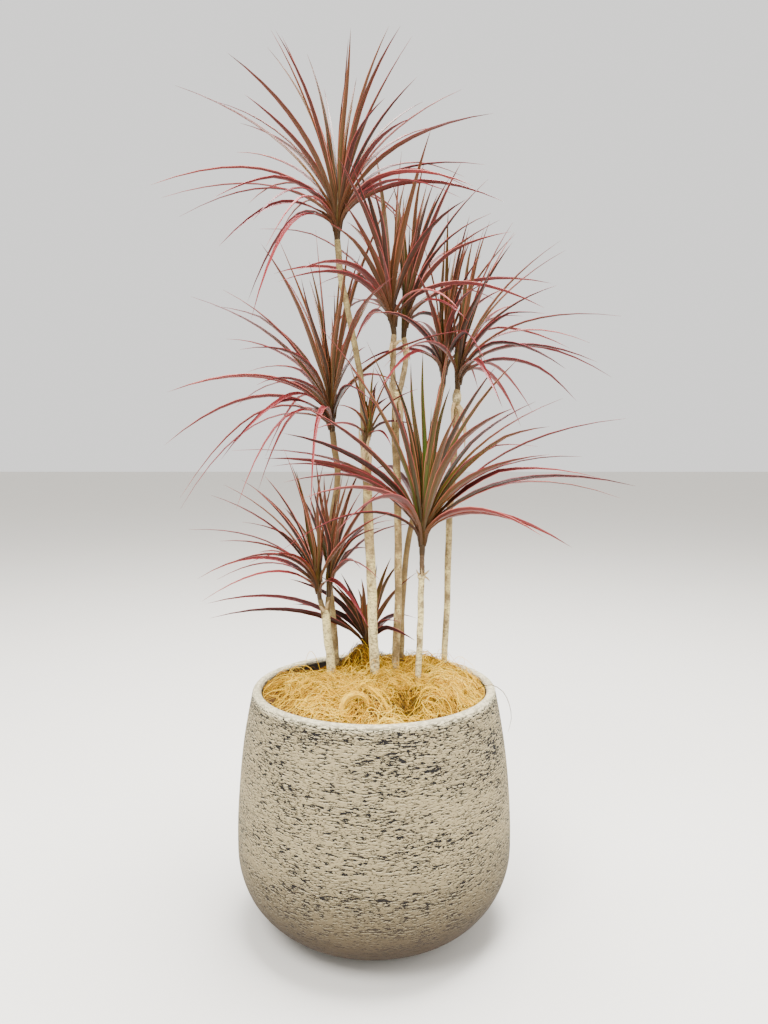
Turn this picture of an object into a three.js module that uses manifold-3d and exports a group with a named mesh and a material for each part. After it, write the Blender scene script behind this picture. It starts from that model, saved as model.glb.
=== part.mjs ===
// A potted dracaena: a stand of slim canes with heads of narrow maroon leaves, in a barrel-shaped
// cement pot mulched with coconut fibre. Millimetres, +Z up, origin at the middle of the pot's foot,
// front towards -Y.

import * as THREE from 'three';
import { mergeVertices } from 'three/addons/utils/BufferGeometryUtils.js';
import Module from 'manifold-3d';

const wasm = await Module();
wasm.setup();

// ---------------------------------------------------------------- driving dimensions

const GAP = 0.3; // clearance kept between neighbouring solids
const SMALLEST = 0.2; // detail finer than this is left out of a joined solid
const POT = {
  footRadius: 76,
  bellyRadius: 180,
  bellyHeight: 104,
  wallStart: 114,
  rimRadius: 158,
  height: 312,
  wall: 13,
  rimRound: 6,
  floor: 15,
  straightFrom: 128,
  sides: 32,
};
const SOIL_TOP = 283;
const COIR = {
  edgeHeight: 304,
  crownRise: 18,
  rings: 5,
  ripple: 2.2,
  clumps: [
    { x: -14, y: 50, rise: 15, spread: 25 },
    { x: 70, y: 34, rise: 17, spread: 26 },
    { x: -75, y: -45, rise: 7, spread: 26 },
    { x: -72, y: 98, rise: -22, spread: 40 },
  ],
};
const CANE_SIDES = 6;
const HOLE_SIDES = 6;
const HOLE_ROOM = 0.5; // least room round a cane in its hole
const CANE_STEP = 62; // length of a straight stretch of cane
const HOLE_STEPS = 2;
const CANE_FOOT = 205; // height of the buried cane ends, inside the soil

// The canes, each a list of stems that grew as one piece. A stem's points are set by hand.
const CANES = {
  cane_a: [
    {
      radius: 6.1,
      points: [
        [2, 1, CANE_FOOT], [1, 0, 324], [-3, 0, 424], [-7, 0, 525], [-9, 0, 581], [-10, 0, 624],
      ],
    },
    {
      radius: 3.9,
      points: [
        [-10, 1, 596], [-13, 3, 648], [-16, 4, 702], [-24, 5, 751], [-33, 5, 798], [-41, 5, 834],
        [-46, 5, 885],
      ],
    },
  ],
  cane_b: [
    {
      radius: 4.3,
      points: [
        [-50, 52, CANE_FOOT], [-53, 51, 330], [-58, 50, 400], [-61, 48, 440], [-58, 46, 520],
        [-51, 45, 568], [-49, 45, 595], [-53, 44, 620], [-56, 43, 645],
      ],
    },
  ],
  cane_c: [
    {
      radius: 5.2,
      points: [
        [27, 27, CANE_FOOT], [28, 25, 326], [32, 25, 419], [32, 25, 473], [31, 25, 553],
        [28, 25, 650], [29, 26, 695],
      ],
    },
    { radius: 3.7, points: [[28, 26, 680], [24, 24, 716], [25, 22, 745], [26, 22, 770]] },
    { radius: 3.6, points: [[30, 27, 680], [38, 34, 716], [42, 40, 742], [39, 43, 768]] },
  ],
  cane_d: [
    {
      radius: 4.1,
      points: [
        [34, 58, CANE_FOOT], [37, 56, 357], [40, 56, 435], [46, 57, 492], [62, 64, 564],
        [80, 70, 647], [90, 72, 696], [94, 72, 710],
      ],
    },
  ],
  cane_e: [
    {
      radius: 4.1,
      points: [[55, -17, CANE_FOOT], [57, -18, 325], [60, -18, 400], [61, -19, 462]],
    },
    { radius: 3.2, points: [[61, -19, 440], [61.5, -19.5, 466], [61.5, -20, 489]] },
  ],
  cane_f: [
    { radius: 5.6, points: [[-55, 12, CANE_FOOT], [-57, 11, 326], [-61, 10, 368], [-65, 9, 412]] },
    { radius: 3.5, points: [[-65.5, 9, 398], [-68, 7, 412], [-71.5, 5, 426]] },
    { radius: 3.7, points: [[-64, 9, 398], [-61.5, 9.5, 412], [-60, 10, 428]] },
  ],
  cane_g: [
    {
      radius: 4.4,
      points: [
        [93, 48, CANE_FOOT], [96, 46, 334], [99, 45, 415], [101, 45, 520], [105, 45, 570],
        [108, 45, 632], [110, 45, 690], [111, 45, 700],
      ],
    },
  ],
  cane_h: [{ radius: 3.8, points: [[-9, 58, CANE_FOOT], [-10, 54, 305], [-10, 52, 340]] }],
};
// Knots: ring swellings round a cane, at a point of its axis.
const KNOTS = {
  cane_a: [{ at: [-10, -1, 617], radius: 8, height: 14 }],
  cane_c: [{ at: [29, 26, 688], radius: 6.6, height: 12 }],
  cane_e: [{ at: [61, -19, 459], radius: 6.2, height: 8 }],
  cane_g: [{ at: [110, 45, 688], radius: 6.0, height: 10 }],
};
const KNOT_SIDES = 7;

// The leaf heads. base is the cane's tip, height and lean are the crown's, and reach is a leaf's
// length. Leaves with a known tip are listed as [side, rise] from the base, and fill more stand
// between them by the rule of growth.
const HEADS = [
  {
    name: 'head_1',
    base: [-46, 5, 885],
    height: 62,
    lean: [2, 0],
    radius: 5.4,
    reach: 245,
    width: 7.2,
    fill: 21,
    seed: 11,
    tips: [
      [-80, 250], [-85, 230], [-105, 200], [-115, 175], [-35, 160], [15, 240], [65, 255],
      [60, 170], [155, 180], [100, 195], [125, 135], [185, 90], [160, 75], [210, 45],
      [170, 60], [155, 50], [105, -5], [-200, 185], [-120, 140], [-235, 65], [-220, 50],
      [-155, 50], [-125, 105], [-150, -10], [-115, -80], [-110, -100], [-75, 0], [-90, -10],
    ],
  },
  {
    name: 'head_2',
    base: [-56, 43, 645],
    height: 62,
    lean: [-2, 0],
    radius: 5.6,
    reach: 250,
    width: 7.4,
    fill: 21,
    seed: 22,
    tips: [
      [-20, 260], [-40, 200], [-70, 210], [-185, 175], [-140, 120], [-220, 50], [-225, -20],
      [-100, 60], [-130, 30], [-205, -105], [-205, -90], [-150, -40], [-100, -80],
      [-130, -105], [-90, -35], [-30, -130], [0, 150], [90, 325], [45, 110],
    ],
  },
  {
    name: 'head_3a',
    base: [26, 22, 770],
    height: 56,
    lean: [-7, -2],
    radius: 5.0,
    reach: 235,
    width: 8.4,
    fill: 16,
    seed: 33,
    tips: [
      [-60, 225], [-50, 220], [-25, 230], [-30, 190], [-50, 185], [-65, 165], [-155, 75],
      [-150, 65], [-60, -40], [-85, 140], [-100, 60], [-20, 110],
    ],
  },
  {
    name: 'head_3b',
    base: [39, 43, 768],
    height: 58,
    lean: [4, 1],
    radius: 4.9,
    reach: 225,
    width: 8.0,
    fill: 17,
    seed: 44,
    tips: [
      [0, 180], [25, 180], [45, 185], [60, 205], [125, 150], [140, 135], [125, 45],
      [85, 20], [70, -30],
    ],
  },
  {
    name: 'head_4a',
    base: [94, 72, 710],
    height: 56,
    lean: [0, 1],
    radius: 4.9,
    reach: 215,
    width: 7.2,
    fill: 17,
    seed: 55,
    tips: [
      [5, 235], [40, 200], [5, 155], [50, 170], [-125, 15], [-40, 150], [-70, 90],
      [-90, -15], [-30, 190],
    ],
  },
  {
    name: 'head_4b',
    base: [111, 45, 700],
    height: 60,
    lean: [1, -1],
    radius: 5.2,
    reach: 215,
    width: 7.6,
    fill: 14,
    seed: 66,
    tips: [
      [70, 215], [70, 190], [140, 180], [130, 135], [85, 95], [215, 95], [175, 60],
      [185, 35], [205, 15], [145, 25], [100, -30], [60, -25], [85, -50], [20, 200],
    ],
  },
  {
    name: 'head_5',
    base: [61.5, -20, 489],
    height: 66,
    lean: [1, -1],
    radius: 5.2,
    reach: 260,
    width: 9.6,
    fill: 20,
    seed: 77,
    tips: [
      [-130, 285], [-70, 265], [-15, 240], [0, 255], [35, 210], [45, 180], [120, 245],
      [175, 195], [160, 160], [255, 170], [145, 135], [160, 125], [225, 95], [270, 85],
      [250, 70], [155, 20], [-240, 130], [-200, 120], [-190, 110], [-175, 90], [-160, 130],
      [-150, 70],
    ],
  },
  {
    name: 'head_6a',
    base: [-71.5, 5, 426],
    height: 44,
    lean: [-3, -2],
    radius: 4.4,
    reach: 190,
    width: 6.8,
    fill: 11,
    seed: 88,
    tips: [
      [-45, 195], [-70, 160], [-100, 155], [-85, 145], [-140, 135], [-100, 100], [-170, 90],
      [-130, 75], [-80, 60], [-120, 45], [-160, 25], [-155, -5],
    ],
  },
  {
    name: 'head_6b',
    base: [-60, 10, 428],
    height: 46,
    lean: [3, 1],
    radius: 4.5,
    reach: 185,
    width: 6.8,
    fill: 13,
    seed: 99,
    tips: [
      [-25, 135], [-5, 160], [10, 135], [25, 125], [65, 105], [70, 90], [85, 100],
      [45, 140], [60, 60],
    ],
  },
  {
    name: 'head_7',
    base: [-10, 52, 340],
    height: 34,
    lean: [1, 0],
    radius: 4.5,
    reach: 125,
    width: 8.6,
    fill: 4,
    seed: 110,
    tips: [
      [-45, 97], [-36, 111], [-13, 90], [-8, 104], [2, 72], [33, 133], [49, 131], [68, 112],
      [68, 48], [67, 16], [-222, 68], [-217, 48], [-102, 68], [-107, 103],
    ],
  },
  {
    name: 'head_8',
    base: [-9, -5, 624],
    height: 38,
    lean: [3, -6],
    radius: 3.9,
    reach: 95,
    width: 5.6,
    fill: 11,
    seed: 121,
    tips: [
      [10, 75], [-15, 80],
    ],
  },
];

const LEAF = {
  mostPieces: 5, // straight stretches along a drooping blade
  leastPieces: 3, // and along a steep one
  risePerPiece: 28, // degrees of rise that save a blade one stretch
  keel: 1.5, // depth of the folded midrib under the blade
  rootWidth: 0.45, // root width as a share of the full width
  rootDepth: 2.2, // how far a root is sunk in the crown
  lowestRoot: 0.25, // where the oldest leaves leave the crown, as a share of its height
  rootSpan: 0.5, // how much further up the youngest leave it
  widening: 2.3, // how fast a blade widens from its root
  taper: 2.2, // how late a blade narrows to its tip
  control: 0.5, // share of the leaf's length where its arch turns over
  steepest: 85, // degrees of rise at which a leaf is youngest and its bend is least
  ageSpan: 110, // degrees of rise between the youngest leaf and the oldest
  upright: 88, // steepest start of a blade, in degrees
  bendPerDegree: 0.44,
  leastBend: 6,
  mostBend: 66,
  goldenAngle: 137.5,
  sideThinning: 8, // degrees by which rule-grown leaves crowd towards front and back
  youngRise: 84,
  oldRise: -16,
  clearance: 1.3,
  rootFree: 1, // stretches at the root that may meet their own head's leaves and cane
  ownRelief: 3, // how much closer leaves of one head may pass each other
  coirClearance: 4,
};
// How the leaves with a listed tip are drawn: lengths as a share of the head's reach, depths in mm.
const LISTED = {
  length: [0.82, 0.2],
  depthShare: 0.8,
  depthSpread: 12,
  depthStep: 18,
  depthTries: 9,
};
// How the leaves between them are drawn: turns and rises in degrees.
const GROWN = {
  length: [0.55, 0.1],
  fullLength: 0.3,
  fullFrom: 0.25,
  fullSpan: 0.6,
  ageing: 1.15,
  turnSpread: 20,
  riseSpread: 10,
  turnStep: 7,
  turnTries: 8,
  front: 270, // heading of the front, in degrees
  frontOpen: 26, // degrees to each side of it where no leaf is wished for
};
const BEND_DRAW = [0.85, 0.3]; // least bend of a drawn leaf and its spread
const EYE = [13, -1030, 632]; // the viewpoint that the listed leaf tips are seen from
// The crown's shape, in shares of its radius and height: it widens upwards as leaf bases part.
const CROWN = {
  sides: 6,
  seatRoom: 1.2,
  profile: [[0.72, 0], [0.9, 0.25], [1.15, 0.6], [0.8, 0.85], [0, 1]],
};
const STEM_ROOM = 1.5; // room that leaves keep from canes and other crowns

const FINISH = {
  pot: { color: 0xb4ac99, roughness: 0.92 },
  soil: { color: 0x3b2c1f, roughness: 1 },
  coir_mulch: { color: 0xc8995a, roughness: 1 },
  cane: { color: 0xcbbd96, roughness: 0.85 },
  leaf: { color: 0x6b3328, roughness: 0.5 },
};

// ---------------------------------------------------------------- solids

const degrees = THREE.MathUtils.degToRad;

function toSolid(geometry) {
  const bare = geometry.clone();
  bare.deleteAttribute('normal');
  bare.deleteAttribute('uv');
  const merged = mergeVertices(bare, 1e-4);
  return new wasm.Manifold(
    new wasm.Mesh({
      numProp: 3,
      vertProperties: new Float32Array(merged.attributes.position.array),
      triVerts: new Uint32Array(merged.index.array),
    }),
  );
}

function toGeometry(solid) {
  const mesh = solid.simplify(SMALLEST).getMesh();
  const places = new Float32Array(mesh.vertProperties);
  const geometry = new THREE.BufferGeometry();
  geometry.setAttribute('position', new THREE.BufferAttribute(places, 3));
  geometry.setIndex(new THREE.BufferAttribute(new Uint32Array(mesh.triVerts), 1));
  return geometry;
}

// Turns a profile of [radius, height] points about the vertical axis.
function turned(profile, sides) {
  const points = profile.map(([radius, height]) => new THREE.Vector2(radius, height));
  return new THREE.LatheGeometry(points, sides).rotateX(Math.PI / 2);
}

function named(name, geometry, finish) {
  const material = new THREE.MeshStandardMaterial({ ...finish, metalness: 0 });
  const mesh = new THREE.Mesh(geometry, material);
  mesh.name = name;
  return mesh;
}

// ---------------------------------------------------------------- pot and soil

// Outer radius of the pot's wall above its belly: it narrows as the square of the height.
function wallRadius(height) {
  const share = Math.max(0, (height - POT.wallStart) / (POT.height - POT.wallStart));
  return POT.bellyRadius - (POT.bellyRadius - POT.rimRadius) * share * share;
}

function footArc(radius, steps, lowest) {
  const arc = [];
  for (let i = 0; i <= steps; i += 1) {
    const angle = degrees(90 * (i / steps));
    const outward = POT.footRadius + radius * Math.sin(angle);
    const height = POT.bellyHeight - radius * Math.cos(angle);
    if (height >= lowest) arc.push([outward, height]);
  }
  return arc;
}

function wallHeights(from, to, steps) {
  return Array.from({ length: steps + 1 }, (_, i) => from + ((to - from) * i) / steps);
}

const footRound = POT.bellyRadius - POT.footRadius;
const rimBase = POT.height - POT.rimRound;

// The pot's inside, from the middle of its floor up to the rim.
const inside = [
  [0, POT.floor],
  ...footArc(footRound - POT.wall, 4, POT.floor),
  ...wallHeights(POT.straightFrom, rimBase, 3).map((z) => [wallRadius(z) - POT.wall, z]),
];

function insideRadius(height) {
  const above = inside.findIndex(([, z], i) => i > 1 && z >= height);
  const [lowRadius, low] = inside[above - 1];
  const [highRadius, high] = inside[above];
  return lowRadius + ((highRadius - lowRadius) * (height - low)) / (high - low);
}

function pot() {
  const rimMiddle = wallRadius(rimBase) - POT.wall / 2;
  const rim = [45, 90, 135].map((angle) => [
    rimMiddle + (POT.wall / 2) * Math.cos(degrees(angle)),
    rimBase + POT.rimRound * Math.sin(degrees(angle)),
  ]);
  const profile = [
    [0, 0],
    ...footArc(footRound, 5, 0),
    ...wallHeights(POT.straightFrom, rimBase, 4).map((z) => [wallRadius(z), z]),
    ...rim,
    ...inside.toReversed(),
  ];
  return turned(profile, POT.sides);
}

// The soil fills the pot up to its top, less the gap.
function soilFilling() {
  const wetted = inside.filter(([, z]) => z < SOIL_TOP);
  const wall = wetted.map(([radius, z]) => [Math.max(0, radius - 2 * GAP), z + GAP]);
  return turned([...wall, [insideRadius(SOIL_TOP) - 2 * GAP, SOIL_TOP], [0, SOIL_TOP]], POT.sides);
}

// ---------------------------------------------------------------- canes

function stemCurve(points) {
  const places = points.map((point) => new THREE.Vector3(...point));
  return new THREE.CatmullRomCurve3(places, false, 'centripetal');
}

function tube(points, radius, sides, steps) {
  const ring = new THREE.Shape();
  ring.absarc(0, 0, radius, 0, 2 * Math.PI, false);
  return new THREE.ExtrudeGeometry(ring, {
    steps,
    extrudePath: stemCurve(points),
    curveSegments: sides,
    bevelEnabled: false,
  });
}

function knot({ at, radius, height }) {
  const top = height / 2;
  const profile = [[0, -top], [radius, -0.4 * top], [radius * 0.9, top], [0, top]];
  return turned(profile, KNOT_SIDES).translate(...at);
}

function stemSteps(points) {
  const length = stemCurve(points).getLength();
  return Math.max(2, Math.round(length / CANE_STEP));
}

function caneSolid(name) {
  const stems = CANES[name].map(({ radius, points }) => {
    return toSolid(tube(points, radius, CANE_SIDES, stemSteps(points)));
  });
  const knots = (KNOTS[name] ?? []).map((one) => toSolid(knot(one)));
  return wasm.Manifold.union([...stems, ...knots]);
}

// Plain holes that the canes stand in, cut in soil and mulch.
function withCaneHoles(solid) {
  const holes = Object.values(CANES).map(([{ radius, points }]) => {
    const foot = [points[0][0], points[0][1], points[0][2] - GAP];
    const holeRadius = (radius + HOLE_ROOM) / Math.cos(Math.PI / HOLE_SIDES);
    return toSolid(tube([foot, ...points.slice(1, 3)], holeRadius, HOLE_SIDES, HOLE_STEPS));
  });
  return solid.subtract(wasm.Manifold.union(holes));
}

// ---------------------------------------------------------------- coconut fibre

// Height of the fibre's surface: a low dome with clumps and ripples.
function coirTop(x, y) {
  const edge = insideRadius(COIR.edgeHeight);
  const share = Math.min(1, (x * x + y * y) / (edge * edge));
  let height = COIR.edgeHeight + COIR.crownRise * (1 - share * share);
  for (const clump of COIR.clumps) {
    const distance = ((x - clump.x) ** 2 + (y - clump.y) ** 2) / (clump.spread * clump.spread);
    height += clump.rise * Math.exp(-distance);
  }
  const broad = Math.sin(x * 0.19 + 1.3) * Math.sin(y * 0.17 + 0.4);
  const fine = 0.6 * Math.sin(x * 0.41 + y * 0.33);
  return height + COIR.ripple * (broad + fine) * (1 - share);
}

function coirMound() {
  const edge = insideRadius(COIR.edgeHeight) - 2 * GAP;
  const bottom = SOIL_TOP + GAP;
  const profile = [[0, bottom], [insideRadius(bottom) - 2 * GAP, bottom]];
  for (let ring = COIR.rings; ring >= 0; ring -= 1) {
    profile.push([(edge * ring) / COIR.rings, COIR.edgeHeight]);
  }
  const mound = turned(profile, POT.sides);
  const place = mound.attributes.position;
  for (let i = 0; i < place.count; i += 1) {
    if (place.getZ(i) > bottom + 1) place.setZ(i, coirTop(place.getX(i), place.getY(i)));
  }
  return mound;
}

// ---------------------------------------------------------------- leaves

// Seeded draws between 0 and 1.
function drawFrom(seed) {
  let state = seed * 7919;
  return () => {
    state = (state * 1664525 + 1013904223) % 4294967296;
    return state / 4294967296;
  };
}

const add = (a, b, scale = 1) => [a[0] + b[0] * scale, a[1] + b[1] * scale, a[2] + b[2] * scale];
const dot = (a, b) => a[0] * b[0] + a[1] * b[1] + a[2] * b[2];
const within = (value, low, high) => Math.min(high, Math.max(low, value));

const toDegrees = THREE.MathUtils.radToDeg;
const drawn = ([least, spread], draw) => least + spread * draw();

// Half width of a blade at a share of its length.
function halfWidth(width, share) {
  const widened = Math.min(1, LEAF.rootWidth + LEAF.widening * share);
  return (width / 2) * widened * (1 - share ** LEAF.taper);
}

// The point at a share of a crown's height, on its leaning axis.
function crownPoint({ base, lean, height }, share) {
  return add(base, [lean[0], lean[1], height], share);
}

// The crown's radius at a share of its height.
function crownRadius(head, share) {
  const above = CROWN.profile.findIndex(([, rise]) => rise > share);
  const [lowWidth, low] = CROWN.profile[above - 1];
  const [highWidth, high] = CROWN.profile[above];
  return head.radius * (lowWidth + ((highWidth - lowWidth) * (share - low)) / (high - low));
}

// A direction from its heading, a flat unit vector, and its rise.
function direction(heading, rise) {
  return [heading[0] * Math.cos(rise), heading[1] * Math.cos(rise), Math.sin(rise)];
}

// A leaf from its head to its tip: steep leaves come from the top of the crown and the old, low
// ones from its foot. The blade starts steeper than its tip lies, and arches over.
function leafTo(head, tip, bendScale) {
  const toTip = add(tip, head.base, -1);
  const tipRise = toDegrees(Math.atan2(toTip[2], Math.hypot(toTip[0], toTip[1])));
  const age = within((LEAF.steepest - tipRise) / LEAF.ageSpan, 0, 1);
  const share = LEAF.lowestRoot + LEAF.rootSpan * (1 - age);
  const middle = crownPoint(head, share);
  const outward = [tip[0] - middle[0], tip[1] - middle[1], 0];
  const inset = (crownRadius(head, share) - LEAF.rootDepth) / Math.hypot(...outward);
  const root = add(middle, outward, inset);
  const chord = add(tip, root, -1);
  const flat = Math.hypot(chord[0], chord[1]);
  const length = Math.hypot(flat, chord[2]);
  const rise = toDegrees(Math.atan2(chord[2], flat));
  const fullBend = LEAF.leastBend + (LEAF.steepest - rise) * LEAF.bendPerDegree;
  const bend = bendScale * within(fullBend, LEAF.leastBend, LEAF.mostBend);
  const start = degrees(Math.min(LEAF.upright, rise + bend));
  const heading = [chord[0] / flat, chord[1] / flat];
  const control = add(root, direction(heading, start), length * LEAF.control);
  const wishedPieces = Math.round(LEAF.mostPieces - rise / LEAF.risePerPiece);
  const pieces = within(wishedPieces, LEAF.leastPieces, LEAF.mostPieces);
  return { head, root, control, tip, heading, pieces };
}

function leafPoint({ root, control, tip }, share) {
  const rest = 1 - share;
  const place = (axis) => {
    const arched = rest * root[axis] + 2 * share * control[axis];
    return rest * arched + share * share * tip[axis];
  };
  return [place(0), place(1), place(2)];
}

// The tip of a listed leaf, moved back or forth along the line it is seen on.
function listedTip(head, [side, rise], depth) {
  const flat = [head.base[0] + side, head.base[1], head.base[2] + rise];
  const sight = add(flat, EYE, -1);
  return add(flat, sight, depth / sight[1]);
}

function ruleTip(head, azimuth, rise, length) {
  const heading = [Math.cos(degrees(azimuth)), Math.sin(degrees(azimuth))];
  return add(crownPoint(head, 0.5), direction(heading, degrees(rise)), length);
}

// Least distance between the segments p-q and a-b.
function segmentGap(p, q, a, b) {
  const d1 = add(q, p, -1);
  const d2 = add(b, a, -1);
  const r = add(p, a, -1);
  const a1 = dot(d1, d1);
  const e = dot(d2, d2);
  const f = dot(d2, r);
  const c = dot(d1, r);
  const k = dot(d1, d2);
  const spread = a1 * e - k * k;
  let s = spread > 1e-9 ? within((k * f - c * e) / spread, 0, 1) : 0;
  let t = (k * s + f) / e;
  if (t < 0) {
    t = 0;
    s = within(-c / a1, 0, 1);
  } else if (t > 1) {
    t = 1;
    s = within((k - c) / a1, 0, 1);
  }
  const between = add(add(r, d1, s), d2, -t);
  return Math.sqrt(dot(between, between));
}

// Everything that a leaf has to pass clear of: canes, crowns and the leaves of other heads.
const taken = [];

function claim(points, reaches, owner, isStem) {
  for (let i = 0; i + 1 < points.length; i += 1) {
    const reach = Math.max(reaches[i], reaches[i + 1]);
    taken.push({ from: points[i], to: points[i + 1], reach, owner, isStem, order: i });
  }
}

function leafOutline(leaf) {
  const shares = Array.from({ length: leaf.pieces + 1 }, (_, i) => i / leaf.pieces);
  return {
    points: shares.map((share) => leafPoint(leaf, share)),
    reaches: shares.map((share) => Math.max(LEAF.keel, halfWidth(leaf.head.width, share))),
  };
}

function isClear(leaf) {
  const { points, reaches } = leafOutline(leaf);
  for (let i = 2; i < points.length; i += 1) {
    if (points[i][2] < coirTop(points[i][0], points[i][1]) + LEAF.coirClearance) return false;
  }
  for (let i = 0; i + 1 < points.length; i += 1) {
    const reach = Math.max(reaches[i], reaches[i + 1]) + LEAF.clearance;
    for (const other of taken) {
      const own = other.owner === leaf.head.name;
      if (own && (i < LEAF.rootFree || (!other.isStem && other.order < LEAF.rootFree))) continue;
      const room = own ? reach + other.reach - LEAF.ownRelief : reach + other.reach;
      if (segmentGap(points[i], points[i + 1], other.from, other.to) < room) return false;
    }
  }
  return true;
}

// The first clear leaf of a run of tries, from the wished one outwards.
function firstClear(tries) {
  for (const leaf of tries) {
    if (isClear(leaf)) {
      const { points, reaches } = leafOutline(leaf);
      claim(points, reaches, leaf.head.name, false);
      return [leaf];
    }
  }
  return [];
}

function carries({ points }, head) {
  return points.at(-1).join() === head.base.join();
}

function claimStems() {
  for (const [name, stems] of Object.entries(CANES)) {
    for (const stem of stems) {
      const head = HEADS.find((one) => carries(stem, one));
      const reaches = stem.points.map(() => stem.radius + STEM_ROOM);
      claim(stem.points, reaches, head ? head.name : name, true);
    }
  }
  for (const head of HEADS) {
    const reaches = [head.radius + STEM_ROOM, head.radius];
    claim([head.base, crownPoint(head, 1)], reaches, head.name, false);
  }
}

// Values tried in turn: the wished one first, then ever further off on both sides.
function triesFrom(wished, step, count) {
  const tries = [wished];
  for (let i = 1; i <= count; i += 1) tries.push(wished + step * i, wished - step * i);
  return tries;
}

function listedLeaves(head) {
  const draw = drawFrom(head.seed);
  return head.tips.flatMap((tip, i) => {
    const length = head.reach * drawn(LISTED.length, draw);
    const hidden = Math.sqrt(Math.max(0, length * length - tip[0] * tip[0] - tip[1] * tip[1]));
    const side = i % 2 ? -LISTED.depthShare : LISTED.depthShare;
    const depth = side * hidden + LISTED.depthSpread * (draw() - 0.5);
    const bendScale = drawn(BEND_DRAW, draw);
    const depths = triesFrom(depth, LISTED.depthStep, LISTED.depthTries);
    return firstClear(depths.map((one) => leafTo(head, listedTip(head, tip, one), bendScale)));
  });
}

// A heading turned out of the open front, where a leaf would be seen end on.
function turnedAside(azimuth) {
  const off = ((azimuth - GROWN.front + 540) % 360) - 180;
  const missing = Math.max(0, GROWN.frontOpen - Math.abs(off));
  return azimuth + (off < 0 ? -missing : missing);
}

function grownLeaves(head) {
  const draw = drawFrom(head.seed + 1);
  return Array.from({ length: head.fill }).flatMap((_, i) => {
    const age = (i + 0.5) / head.fill;
    const turn = i * LEAF.goldenAngle + GROWN.turnSpread * draw();
    const azimuth = turnedAside(turn + LEAF.sideThinning * Math.sin(2 * degrees(turn)));
    const sinking = (LEAF.oldRise - LEAF.youngRise) * age ** GROWN.ageing;
    const rise = LEAF.youngRise + sinking + GROWN.riseSpread * (draw() - 0.5);
    const fullness = GROWN.fullLength * Math.sin(Math.PI * (GROWN.fullFrom + GROWN.fullSpan * age));
    const length = head.reach * (drawn(GROWN.length, draw) + fullness);
    const bendScale = drawn(BEND_DRAW, draw);
    const turns = triesFrom(azimuth, GROWN.turnStep, GROWN.turnTries);
    return firstClear(turns.map((one) => leafTo(head, ruleTip(head, one, rise, length), bendScale)));
  });
}

// Unit vectors along a blade and square to its upper face, at a share of its length.
function bladeFrame(leaf, share, side) {
  const ahead = new THREE.Vector3(...leafPoint(leaf, Math.min(1, share + 0.02)));
  const behind = new THREE.Vector3(...leafPoint(leaf, Math.max(0, share - 0.02)));
  const along = ahead.sub(behind).normalize();
  return { along, up: along.clone().cross(side) };
}

// A blade: a slim three-sided cone laid along the leaf's arch, flat above and keeled below.
function blade(leaf) {
  const cone = new THREE.ConeGeometry(1, 1, 3, leaf.pieces);
  const place = cone.attributes.position;
  const side = new THREE.Vector3(-leaf.heading[1], leaf.heading[0], 0);
  const cornerAcross = Math.sin(degrees(120));
  for (let i = 0; i < place.count; i += 1) {
    const share = within(place.getY(i) + 0.5, 0, 1);
    const fade = Math.max(1e-6, 1 - share);
    const across = place.getX(i) / fade / cornerAcross;
    const under = (place.getZ(i) / fade + 0.5) / 1.5;
    const here = new THREE.Vector3(...leafPoint(leaf, share));
    here.addScaledVector(side, across * halfWidth(leaf.head.width, share));
    here.addScaledVector(bladeFrame(leaf, share, side).up, -under * LEAF.keel * Math.min(1, 3 * fade));
    place.setXYZ(i, here.x, here.y, here.z);
  }
  return cone;
}

// How far a stem's tip, cut square to it, stands up on one side where the stem leans. A head with
// no stem of its own sits on a level cut.
function tipLift(stem) {
  if (!stem) return 0;
  const [before, tip] = stem.points.slice(-2);
  const slope = Math.hypot(tip[0] - before[0], tip[1] - before[1]) / (tip[2] - before[2]);
  return stem.radius * slope;
}

// The crown core: the wrapped leaf bases that the blades stand out of.
function crown(head) {
  const { radius, height, lean } = head;
  const stem = Object.values(CANES).flat().find((one) => carries(one, head));
  const seat = GAP + CROWN.seatRoom * tipLift(stem);
  const profile = CROWN.profile.map(([width, rise]) => [radius * width, Math.max(seat, height * rise)]);
  const core = turned([[0, seat], ...profile], CROWN.sides);
  const place = core.attributes.position;
  for (let i = 0; i < place.count; i += 1) {
    const share = place.getZ(i) / height;
    place.setXY(i, place.getX(i) + lean[0] * share, place.getY(i) + lean[1] * share);
  }
  return core.translate(...head.base);
}

// ---------------------------------------------------------------- assembly

const plant = new THREE.Group();
plant.name = 'potted_dracaena';

plant.add(named('pot', pot(), FINISH.pot));
plant.add(named('soil', toGeometry(withCaneHoles(toSolid(soilFilling()))), FINISH.soil));
plant.add(named('coir_mulch', toGeometry(withCaneHoles(toSolid(coirMound()))), FINISH.coir_mulch));
for (const name of Object.keys(CANES)) plant.add(named(name, toGeometry(caneSolid(name)), FINISH.cane));

claimStems();
const listed = HEADS.map(listedLeaves);
const grown = HEADS.map(grownLeaves);
HEADS.forEach((head, i) => {
  const blades = [...listed[i], ...grown[i]].map((leaf) => toSolid(blade(leaf)));
  const solid = wasm.Manifold.union([toSolid(crown(head)), ...blades]);
  plant.add(named(head.name, toGeometry(solid), FINISH.leaf));
});

export default plant;
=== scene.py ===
"""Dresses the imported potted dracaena: pitted cement pot, coconut-fibre mulch, barked canes with
their knots and dry sheaths, and heads of narrow maroon leaves. Metres, +Z up, front towards -Y.
"""

import math

import bpy
import numpy as np
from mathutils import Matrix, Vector, noise


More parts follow.
